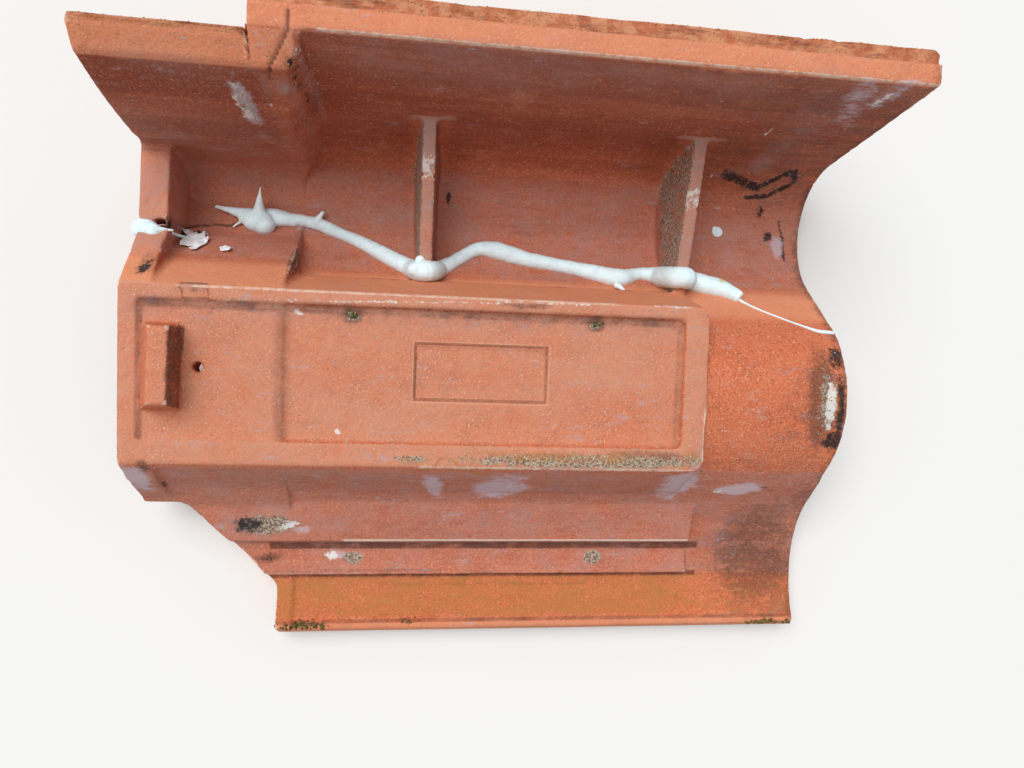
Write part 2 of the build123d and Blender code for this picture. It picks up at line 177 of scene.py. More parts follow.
def millimetres(mesh):
    """Vertex places of a mesh, in millimetres."""
    co = np.empty(len(mesh.vertices) * 3, np.float32)
    mesh.vertices.foreach_get("co", co)
    return co.reshape(-1, 3).astype(float) / MM


def normals_of(mesh):
    """Vertex normals of a mesh."""
    no = np.empty(len(mesh.vertices) * 3, np.float32)
    mesh.vertex_normals.foreach_get("vector", no)
    return no.reshape(-1, 3).astype(float)


def move_to(mesh, points):
    """Vertex places from millimetres, kept inside the solid model's box."""
    low = np.array(CAD_LOW)
    high = np.array(CAD_HIGH)
    co = np.clip(points * MM, low + 1e-6, high - 1e-6).astype(np.float32)
    mesh.vertices.foreach_set("co", co.ravel())
    mesh.update()


def edge_pairs(mesh):
    """Vertex numbers of each edge."""
    pairs = np.empty(len(mesh.edges) * 2, np.int32)
    mesh.edges.foreach_get("vertices", pairs)
    return pairs.reshape(-1, 2)


def spread_out(values, pairs, rounds):
    """Values smoothed over neighbouring vertices."""
    count = np.bincount(pairs.ravel(), minlength=len(values)).astype(float)
    count[count == 0] = 1
    for _ in range(rounds):
        total = np.bincount(pairs[:, 0], values[pairs[:, 1]], len(values))
        total += np.bincount(pairs[:, 1], values[pairs[:, 0]], len(values))
        values = 0.5 * values + 0.5 * total / count
    return values


def bulge(points, normals, pairs):
    """How far each vertex stands out: above 0 on outer edges, below 0 in inner corners."""
    step = points[pairs[:, 1]] - points[pairs[:, 0]]
    length = np.maximum(np.linalg.norm(step, axis=1), 1e-6)
    lean = np.einsum("ij,ij->i", step, normals[pairs[:, 0]]) / length
    back = np.einsum("ij,ij->i", -step, normals[pairs[:, 1]]) / length
    count = np.maximum(np.bincount(pairs.ravel(), minlength=len(points)), 1)
    total = np.bincount(pairs[:, 0], -lean, len(points))
    total += np.bincount(pairs[:, 1], -back, len(points))
    return total / count


def layer(mesh, name, values):
    """Float value of each vertex, kept on the mesh for its material."""
    attribute = mesh.attributes.new(name, "FLOAT", "POINT")
    attribute.data.foreach_set("value", np.clip(values, 0, 1).astype(np.float32))


def piece(name, mesh, material=None):
    """New object at the origin with a mesh and its material."""
    obj = bpy.data.objects.new(name, mesh)
    bpy.context.scene.collection.objects.link(obj)
    mesh.name = name
    if material is not None:
        mesh.materials.clear()
        mesh.materials.append(material)
    return obj


def settled(obj):
    """Plain mesh of an object's modifiers, which are then removed."""
    graph = bpy.context.evaluated_depsgraph_get()
    mesh = bpy.data.meshes.new_from_object(obj.evaluated_get(graph))
    obj.modifiers.clear()
    old = obj.data
    obj.data = mesh
    if isinstance(old, bpy.types.Mesh):
        bpy.data.meshes.remove(old)
    return mesh


def joined_copy(node):
    """Copy of a solid's mesh with its loose triangles joined."""
    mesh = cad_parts[node].data.copy()
    shell = bmesh.new()
    shell.from_mesh(mesh)
    bmesh.ops.remove_doubles(shell, verts=shell.verts, dist=2e-6)
    shell.to_mesh(mesh)
    shell.free()
    return mesh


def remeshed(obj, voxel):
    """Even mesh over an object's shape."""
    cells = obj.modifiers.new("cells", "REMESH")
    cells.mode = "VOXEL"
    cells.voxel_size = voxel * MM
    cells.adaptivity = 0
    return settled(obj)


def thinned(obj, triangles, plain):
    """Fewer triangles where the surface is plain."""
    mesh = obj.data
    have = 2 * len(mesh.polygons)
    group = obj.vertex_groups.new(name="plain")
    group.add(np.flatnonzero(plain).tolist(), 1.0, "REPLACE")
    fewer = obj.modifiers.new("fewer", "DECIMATE")
    fewer.ratio = min(triangles / have, 1)
    fewer.vertex_group = group.name
    fewer.vertex_group_factor = 1.0
    fewer.use_collapse_triangulate = True
    mesh = settled(obj)
    obj.vertex_groups.clear()
    return mesh


def shade_smooth(mesh):
    """Smooth shading on every face."""
    mesh.polygons.foreach_set("use_smooth", np.ones(len(mesh.polygons), bool))
    mesh.update()


def surface_tree():
    """Search tree of the dressed tile, for placing things on it."""
    mesh = bpy.data.objects["clay_tile"].data
    points = [vertex.co.copy() for vertex in mesh.vertices]
    return BVHTree.FromPolygons(points, [tuple(face.vertices) for face in mesh.polygons])


def drop(tree, x, y, top=160.0):
    """Place and normal of the tile straight below a point, in millimetres."""
    hit, normal, _, _ = tree.ray_cast(Vector((x * MM, y * MM, top * MM)), Vector((0, 0, -1)))
    if hit is None:
        raise RuntimeError(f"nothing of the tile lies below {x}, {y}")
    return np.array(hit) / MM, np.array(normal)


# Materials


class Value:
    """One socket of a material, which can be used in sums."""

    def __init__(self, finish, socket):
        self.finish = finish
        self.socket = socket

    def sum(self, operation, *others):
        values = dict(enumerate((self, *others)))
        return self.finish.node("ShaderNodeMath", {"operation": operation}, values)

    def __add__(self, other):
        return self.sum("ADD", other)

    def __radd__(self, other):
        return self.sum("ADD", other)

    def __sub__(self, other):
        return self.sum("SUBTRACT", other)

    def __rsub__(self, other):
        return self.finish.node(
            "ShaderNodeMath", {"operation": "SUBTRACT"}, {0: other, 1: self}
        )

    def __mul__(self, other):
        return self.sum("MULTIPLY", other)

    def __rmul__(self, other):
        return self.sum("MULTIPLY", other)

    def most(self, other):
        return self.sum("MAXIMUM", other)

    def least(self, other):
        return self.sum("MINIMUM", other)

    def size(self):
        return self.sum("ABSOLUTE")

    def strip(self, low, high, soft):
        """1 between two values, easing to 0 outside them."""
        return self.step(low - soft, low) * (1 - self.step(high, high + soft))

    def step(self, low, high):
        """Smooth step from 0 at low to 1 at high."""
        return self.finish.node(
            "ShaderNodeMapRange",
            {"interpolation_type": "SMOOTHSTEP"},
            {"Value": self, "From Min": low, "From Max": high},
        )


class Finish:
    """A node material, built up one node at a time."""

    def __init__(self, name, colour):
        self.material = bpy.data.materials.new(name)
        self.material.use_nodes = True
        self.material.diffuse_color = (*colour, 1)
        self.tree = self.material.node_tree
        self.tree.nodes.clear()
        self.place = self.node("ShaderNodeTexCoord", {}, {}, "Object")

    def node(self, kind, settings, values, output=0):
        """New node of a type, with its settings made first and then its sockets."""
        new = self.tree.nodes.new(kind)
        for key, setting in settings.items():
            setattr(new, key, setting)
        for key, value in values.items():
            socket = new.inputs[key]
            if isinstance(value, Value):
                self.tree.links.new(value.socket, socket)
            elif isinstance(value, tuple) and socket.type == "RGBA":
                socket.default_value = (*value, 1)
            else:
                socket.default_value = value
        return Value(self, new.outputs[output])

    def moved(self, shift, stretch=(1, 1, 1)):
        """The object's own coordinates, shifted and stretched."""
        values = {"Vector": self.place, "Location": shift, "Scale": stretch}
        return self.node("ShaderNodeMapping", {"vector_type": "POINT"}, values)

    def grain(self, size, detail=3.0, stretch=(1, 1, 1), shift=(0, 0, 0), harsh=0.5):
        """Noise with lumps of a size in millimetres."""
        values = {"Vector": self.moved(shift, stretch), "Scale": 1 / (size * MM)}
        values |= {"Detail": detail, "Roughness": harsh}
        return self.node("ShaderNodeTexNoise", {}, values)

    def cells(self, size, shift):
        """Distance to scattered points a size in millimetres apart."""
        values = {"Vector": self.moved(shift), "Scale": 1 / (size * MM)}
        return self.node("ShaderNodeTexVoronoi", {"feature": "F1"}, values, "Distance")

    def layer(self, name):
        """Value that the mesh holds at each vertex."""
        return self.node("ShaderNodeAttribute", {"attribute_name": name}, {}, "Fac")

    def axes(self):
        """Object coordinates in millimetres, one value each."""
        scaled = {"Vector": self.place, "Scale": 1 / MM}
        large = self.node("ShaderNodeVectorMath", {"operation": "SCALE"}, scaled)
        split = self.node("ShaderNodeSeparateXYZ", {}, {"Vector": large})
        outputs = split.socket.node.outputs
        return tuple(Value(self, outputs[n]) for n in range(3))

    def over(self, below, above, cover):
        """Colour laid over another, as far as a mask lets it."""
        return self.node("ShaderNodeMix", {"data_type": "RGBA"}, {0: cover, 6: below, 7: above}, 2)

    def bump(self, height, depth, below=None):
        """Surface normal from a height, whose full range is depth in millimetres."""
        values = {"Height": height, "Distance": depth * MM, "Strength": 1.0}
        if below is not None:
            values["Normal"] = below
        return self.node("ShaderNodeBump", {}, values)

    def surface(self, colour, roughness, normal=None, **fixed):
        """Main shader and output."""
        values = {"Base Color": colour, "Roughness": roughness}
        if normal is not None:
            values["Normal"] = normal
        for key, value in fixed.items():
            values[key.replace("_", " ")] = value
        shader = self.node("ShaderNodeBsdfPrincipled", {}, values)
        out = self.tree.nodes.new("ShaderNodeOutputMaterial")
        self.tree.links.new(shader.socket, out.inputs["Surface"])
        return self.material


class Steps:
    """A Geometry Nodes tree, built up one node at a time."""

    def __init__(self, name, inputs):
        self.tree = bpy.data.node_groups.new(name, "GeometryNodeTree")
        self.names = {}
        for key, kind in {"Geometry": "Geometry", **inputs, "Material": "Material"}.items():
            socket = self.tree.interface.new_socket(
                name=key, in_out="INPUT", socket_type="NodeSocket" + kind
            )
            self.names[key] = socket.identifier
        self.tree.interface.new_socket(
            name="Geometry", in_out="OUTPUT", socket_type="NodeSocketGeometry"
        )
        self.given = self.tree.nodes.new("NodeGroupInput").outputs

    def add(self, kind, settings, values, output=0):
        """Output of a new node, with its settings made and its sockets filled."""
        node = self.tree.nodes.new(kind)
        for key, setting in settings.items():
            setattr(node, key, setting)
        for key, value in values.items():
            if isinstance(value, bpy.types.NodeSocket):
                self.tree.links.new(value, node.inputs[key])
            else:
                node.inputs[key].default_value = value
        return node.outputs[output]

    def close(self, geometry):
        """End the tree in plain meshes with the given material."""
        real = self.add("GeometryNodeRealizeInstances", {}, {"Geometry": geometry})
        painted = self.add(
            "GeometryNodeSetMaterial", {}, {"Geometry": real, "Material": self.given["Material"]}
        )
        self.tree.links.new(painted, self.tree.nodes.new("NodeGroupOutput").inputs[0])

    def run(self, obj, **values):
        """Plain mesh that the tree makes of an object."""
        modifier = obj.modifiers.new(self.tree.name, "NODES")
        modifier.node_group = self.tree
        for key, value in values.items():
            modifier[self.names[key]] = value
        return settled(obj)


def strand_steps():
    """Round strands along lines whose points hold their half thickness."""
    steps = Steps("strands", {"Sides": "Int"})
    half = steps.add(
        "GeometryNodeInputNamedAttribute", {"data_type": "FLOAT"}, {"Name": "half"}, "Attribute"
    )
    curve = steps.add("GeometryNodeMeshToCurve", {}, {"Mesh": steps.given["Geometry"]})
    ring = steps.add(
        "GeometryNodeCurvePrimitiveCircle",
        {"mode": "RADIUS"},
        {"Resolution": steps.given["Sides"], "Radius": 1.0},
    )
    skin = steps.add(
        "GeometryNodeCurveToMesh",
        {},
        {"Curve": curve, "Profile Curve": ring, "Scale": half, "Fill Caps": True},
    )
    steps.close(skin)
    return steps


def scatter_steps():
    """Small grains strewn over a surface, as dense as one of its layers says."""
    steps = Steps(
        "grains", {"Layer": "String", "Density": "Float", "Size": "Float", "Seed": "Int"}
    )
    given = steps.given
    share = steps.add(
        "GeometryNodeInputNamedAttribute",
        {"data_type": "FLOAT"},
        {"Name": given["Layer"]},
        "Attribute",
    )
    dense = steps.add("ShaderNodeMath", {"operation": "MULTIPLY"}, {0: share, 1: given["Density"]})
    spread = steps.add(
        "GeometryNodeDistributePointsOnFaces",
        {"distribute_method": "RANDOM"},
        {"Mesh": given["Geometry"], "Density": dense, "Seed": given["Seed"]},
    )
    turn = spread.node.outputs["Rotation"]
    varied = steps.add(
        "FunctionNodeRandomValue", {"data_type": "FLOAT"}, {2: 0.45, 3: 1.3, "Seed": given["Seed"]}, 1
    )
    size = steps.add("ShaderNodeMath", {"operation": "MULTIPLY"}, {0: varied, 1: given["Size"]})
    grain = steps.add("GeometryNodeMeshIcoSphere", {}, {"Radius": 1.0, "Subdivisions": 1})
    strewn = steps.add(
        "GeometryNodeInstanceOnPoints",
        {},
        {"Points": spread, "Instance": grain, "Rotation": turn, "Scale": size},
    )
    steps.close(strewn)
    return steps


def clay_finish(look):
    """Fired clay with its sand, dust, stains and worn edges, and painted light and shade."""
    f = Finish("fired_clay", tuple(look.salmon))
    salmon, orange, deep_and_shade = tuple(look.salmon), tuple(look.orange), tuple(look.deep_and_shade)
    x, y, z = f.axes()
    mottle = f.grain(7, 3, harsh=0.6)
    fine = f.grain(1.3, 3, harsh=0.6)
    blotch = f.grain(19, 4, shift=(0.9, 0.3, 0.5), harsh=0.72)
    streak = f.grain(14, 4, stretch=(0.07, 1, 1), harsh=0.7)
    scrub = f.grain(3, 3, stretch=(0.16, 1, 1), shift=(0.3, 0, 0), harsh=0.7)
    brushed = f.layer("brushed")
    dusty = f.layer("dust")

    # Orange where the clay is fresher, and painted light on the slopes and rims that face the lamp
    clay = f.over(salmon, orange, f.layer("fresh_and_lit"))
    # Deep colour: weathering in the channel, and painted shade on the flange wall and on faces turned from
    # the lamp
    clay = f.over(clay, deep_and_shade, (f.layer("deep_and_shade") * (0.72 + streak * 0.5)).least(1.0))
    clay = f.over(clay, clay_linear(231, 138, 104), (1 - streak).step(0.4, 0.7) * 0.3)
    clay = f.over(clay, clay_linear(150, 72, 48), blotch.step(0.5, 0.68) * 0.26)
    clay = f.over(clay, clay_linear(232, 160, 126), (1 - blotch).step(0.56, 0.72) * 0.3)
    clay = f.over(clay, clay_linear(160, 72, 46), mottle.step(0.52, 0.78) * 0.3)
    clay = f.over(clay, clay_linear(138, 64, 42), fine.step(0.53, 0.68) * 0.55)
    clay = f.over(clay, clay_linear(244, 170, 128), (1 - fine).step(0.54, 0.7) * 0.5)
    clay = f.over(clay, clay_linear(168, 92, 64), brushed * streak.step(0.5, 0.75) * 0.35)
    clay = f.over(clay, clay_linear(74, 34, 22), brushed * (1 - scrub).step(0.52, 0.72) * 0.24)
    # Lighter clay: painted light on lamp-facing slopes, the lip top and the head band, and a paler lower
    # lip
    clay = f.over(clay, clay_linear(242, 166, 126), f.layer("lit_and_pale") * (0.45 + fine * 0.5))

    # Sandy grains: pale, dark and white specks, fewest where the clay was brushed
    open_clay = (1 - brushed * 0.9) * (1 - f.layer("lit_and_pale") * 0.8)
    pale = f.cells(1.6, shift=(0.11, 0.07, 0))
    dark = f.cells(3.4, shift=(0.31, 0.02, 0.1))
    white = f.cells(7.0, shift=(0.2, 0.5, 0.3))
    sandy = (0.25 + blotch.step(0.4, 0.62)) * open_clay
    clay = f.over(clay, clay_linear(244, 206, 172), (1 - pale.step(0.1, 0.28)) * sandy * 0.8)
    clay = f.over(clay, clay_linear(96, 50, 34), (1 - dark.step(0.06, 0.18)) * open_clay * 0.7)
    clay = f.over(clay, clay_linear(244, 234, 220), (1 - white.step(0.03, 0.07)) * open_clay * 0.8)

    # Dry dust, and haze that also carries painted shade under the top rim
    cloud = f.grain(13, 4, shift=(0.4, 0.1, 0.2), harsh=0.7)
    film = dusty * (0.2 + cloud * 1.4) * (0.5 + fine)
    clay = f.over(clay, clay_linear(214, 160, 134), film.least(1.0) * 0.62)
    haze_and_shade = f.layer("haze_and_shade") * (cloud * 2.4 - 0.45) * (0.4 + scrub * 1.1)
    clay = f.over(clay, clay_linear(178, 145, 139), haze_and_shade.least(1.0).most(0.0) * 0.66)

    # Grime with painted shade, then mortar, lime and lilac bloom, each broken up at its edge
    ragged = (f.grain(3.4, 4, shift=(0.7, 0.2, 0.9), harsh=0.8) - 0.5) * 3.4
    wisps = (f.grain(9, 4, stretch=(0.45, 1, 1), shift=(0.1, 0.8, 0.4), harsh=0.82) - 0.5) * 3.4
    grime_and_shade = (f.layer("grime_and_shade") + wisps * 0.5 + ragged * 0.3 - 0.5).step(-0.35, 0.4)
    clay = f.over(clay, clay_linear(92, 62, 50), grime_and_shade * (0.4 + fine * 0.6))
    green = (f.layer("moss") + ragged * 0.8 - 0.62).step(-0.15, 0.2)
    clay = f.over(clay, clay_linear(84, 76, 40), green * (0.4 + fine * 0.8))
    mortar = (f.layer("mortar") + ragged * 0.75 - 0.54).step(-0.16, 0.2)
    gritty = f.over(clay_linear(92, 84, 74), clay_linear(196, 184, 164), fine.step(0.38, 0.62))
    clay = f.over(clay, gritty, mortar * 0.85)
    soot = (f.layer("soot") + ragged * 0.75 - 0.52).step(-0.25, 0.35)
    clay = f.over(clay, clay_linear(42, 36, 36), (soot * (0.7 + fine * 0.5)).least(1.0))
    lilac = (f.layer("lilac") + wisps * 0.8 + ragged * 0.3 - 0.5).step(-0.3, 0.4)
    clay = f.over(clay, clay_linear(206, 190, 200), lilac * (0.4 + fine * 0.6))
    lime = (f.layer("chalk") + ragged * 0.8 - 0.54).step(-0.16, 0.22)
    clay = f.over(clay, clay_linear(236, 232, 226), lime * 0.9)
    ochre = (f.layer("ochre") + wisps * 0.6 + ragged * 0.3 - 0.55).step(-0.25, 0.4)
    clay = f.over(clay, clay_linear(190, 121, 64), ochre * (0.45 + fine * 0.6))

    # Worn outer edges show pale clay, inner corners get painted shade
    worn = (f.layer("wear") * 1.7 + ragged * 0.5 - 0.55).step(0.0, 0.5)
    clay = f.over(clay, clay_linear(240, 196, 168), worn * 0.75)
    corner = (f.layer("corner") * 1.5 + ragged * 0.5 - 0.5).step(0.0, 0.6)
    clay = f.over(clay, clay_linear(104, 56, 40), corner * 0.42)
    broken = f.layer("broken")
    crumb = f.over(clay_linear(186, 104, 70), clay_linear(216, 150, 112), mottle.step(0.4, 0.62))
    crumb = f.over(crumb, clay_linear(160, 116, 66), wisps.step(0.1, 0.8) * 0.5)
    crumb = f.over(crumb, clay_linear(96, 58, 38), (1 - scrub).step(0.52, 0.66) * 0.6)
    clay = f.over(clay, crumb, broken * 0.85)

    # Painted shade in the inner steps and grooves, and pale edges, that run straight along the tile
    high = z.step(70.0, 71.0)
    long_way = x.strip(RIM_HEAD, RIM_TAIL, 1.5)
    across = y.strip(RIM_FOOT, RIM_TOP, 1.0)
    seams = y.strip(RIM_TOP - 1.8, RIM_TOP + 0.6, 2.4) * long_way * 0.75
    seams = seams.most(x.strip(RIM_TAIL - 1.8, RIM_TAIL - 0.2, 2.0) * across * 0.5)
    seams = seams.most(x.strip(RIM_HEAD - 0.4, RIM_HEAD + 1.0, 1.6) * across * 0.7)
    seams = seams.most(x.strip(STEP - 1.0, STEP + 1.4, 4.5) * across * 0.5) * high
    ribs = x.strip(-125.0, 131.0, 2.0)
    low = 1 - z.step(40.0, 42.0)
    seams = seams.most(y.strip(GROOVE - 2.8, GROOVE, 1.4) * ribs * low * 1.4)
    seams = seams.most(y.strip(LOCK - 1.4, LOCK, 1.4) * ribs * low * 1.2)
    seams = seams.most(y.strip(CHANNEL_RIM - 1.0, CHANNEL_RIM, 1.0) * low * 0.8)
    seam_shade = seams * (0.1 + wisps * 0.5 + mottle * 1.1)
    clay = f.over(clay, clay_linear(86, 48, 38), seam_shade.least(1.0).most(0.0) * 0.8)
    edges = y.strip(36.3, 37.4, 0.5) * x.strip(-150.0, 50.0, 30.0)
    edges = edges.most(y.strip(-52.2, -51.0, 0.5) * x.strip(-40.0, 105.0, 10.0))
    edges = edges.most(x.strip(110.4, 112.0, 0.6) * y.strip(-51.0, -20.0, 12.0)) * high
    crest = x.strip(-78.0, 122.0, 14.0) * z.step(22.4, 23.4) * low * 1.5
    edges = edges.most(y.strip(-101.2, -99.2, 0.7) * crest)
    edges = edges.most(y.strip(138.2, 139.2, 0.5) * z.step(140.0, 141.0) * x.step(-96.0, -90.0))
    pale_edge = (edges + ragged * 0.7 + wisps * 0.3 - 0.6).step(-0.1, 0.6)
    clay = f.over(clay, clay_linear(240, 214, 196), pale_edge * 0.75)

    # Outline of the sunk plate: painted shade just inside its edge, and a pale line of painted light and
    # wear just outside
    rim_x = (x - PLATE[0]).size() - PLATE[2]
    rim_y = (y - PLATE[1]).size() - PLATE[3]
    rim = rim_x.most(rim_y)
    near = z.step(66.0, 67.0)
    faded = (0.35 + wisps * 0.4 + fine * 0.7).least(1.0).most(0.15)
    clay = f.over(clay, clay_linear(118, 60, 40), rim.strip(-0.8, -0.2, 0.5) * near * faded * 0.7)
    clay = f.over(clay, clay_linear(236, 178, 146), rim.strip(0.4, 0.9, 0.5) * near * faded * 0.5)
    clay = f.over(clay, clay_linear(34, 18, 14), f.layer("crack"))

    rough_level = 0.78 + fine * 0.14
    sunk = rim.strip(-1.0, 0.0, 0.5) * near
    relief = mottle * (0.5 + broken * 0.7) + fine * (0.45 + f.layer("mortar") * 0.3) - sunk * 0.36
    normal = f.bump(relief, 1.0)
    clay = f.over(clay, (0.0, 0.0, 0.0), 0.12)
    return f.surface(clay, rough_level.least(0.98), normal, Specular_IOR_Level=0.28)


def glue_finish(name, base):
    """Squeezed-out glue, dull and pale, with dust specks, painted highlights on its ridges and painted
    shade in its folds.
    """
    f = Finish(name, base)
    cloud = f.grain(6, 3, harsh=0.6)
    lines = f.grain(1.6, 3, stretch=(0.25, 1, 1), shift=(0.2, 0.4, 0.1))
    colour = f.over(base, tuple(c * 0.9 for c in base), cloud.step(0.4, 0.65))
    # Painted highlight on the ridges, painted shade in the folds
    colour = f.over(colour, clay_linear(246, 253, 255), f.layer("ridge_highlight") * 0.7)
    colour = f.over(colour, clay_linear(166, 196, 226), f.layer("fold_shade") * 0.6)
    colour = f.over(colour, clay_linear(186, 218, 242), lines.step(0.55, 0.75) * 0.4)
    stain = f.layer("stain")
    colour = f.over(colour, clay_linear(214, 204, 140), stain * cloud.step(0.3, 0.6))
    grit = f.cells(5.0, shift=(0.3, 0.1, 0.2))
    colour = f.over(colour, clay_linear(150, 128, 118), (1 - grit.step(0.04, 0.09)) * 0.6)
    normal = f.bump(cloud, 0.2)
    normal = f.bump(lines, 0.12, normal)
    rough_level = 0.55 + cloud * 0.2
    return f.surface(colour, rough_level, normal, Specular_IOR_Level=0.35)


def crust_finish(name, dark, light, size):
    """Dull crumbly growth or dirt, between two colours."""
    f = Finish(name, dark)
    mottle = f.grain(size, 5, harsh=0.7)
    fine = f.grain(size * 0.25, 3)
    colour = f.over(dark, light, mottle.step(0.38, 0.62))
    colour = f.over(colour, tuple(c * 0.35 for c in dark), fine.step(0.56, 0.7) * 0.6)
    normal = f.bump(mottle, 0.3)
    normal = f.bump(fine, 0.15, normal)
    return f.surface(colour, 0.86 + mottle * 0.1, normal, Specular_IOR_Level=0.2)


def floor_finish(look):
    """Plain pale floor."""
    f = Finish("pale_floor", tuple(look.floor))
    shade = f.over(tuple(look.floor), tuple(c * 0.97 for c in look.floor), f.grain(300, 2))
    return f.surface(shade, 0.9, Specular_IOR_Level=0.1)


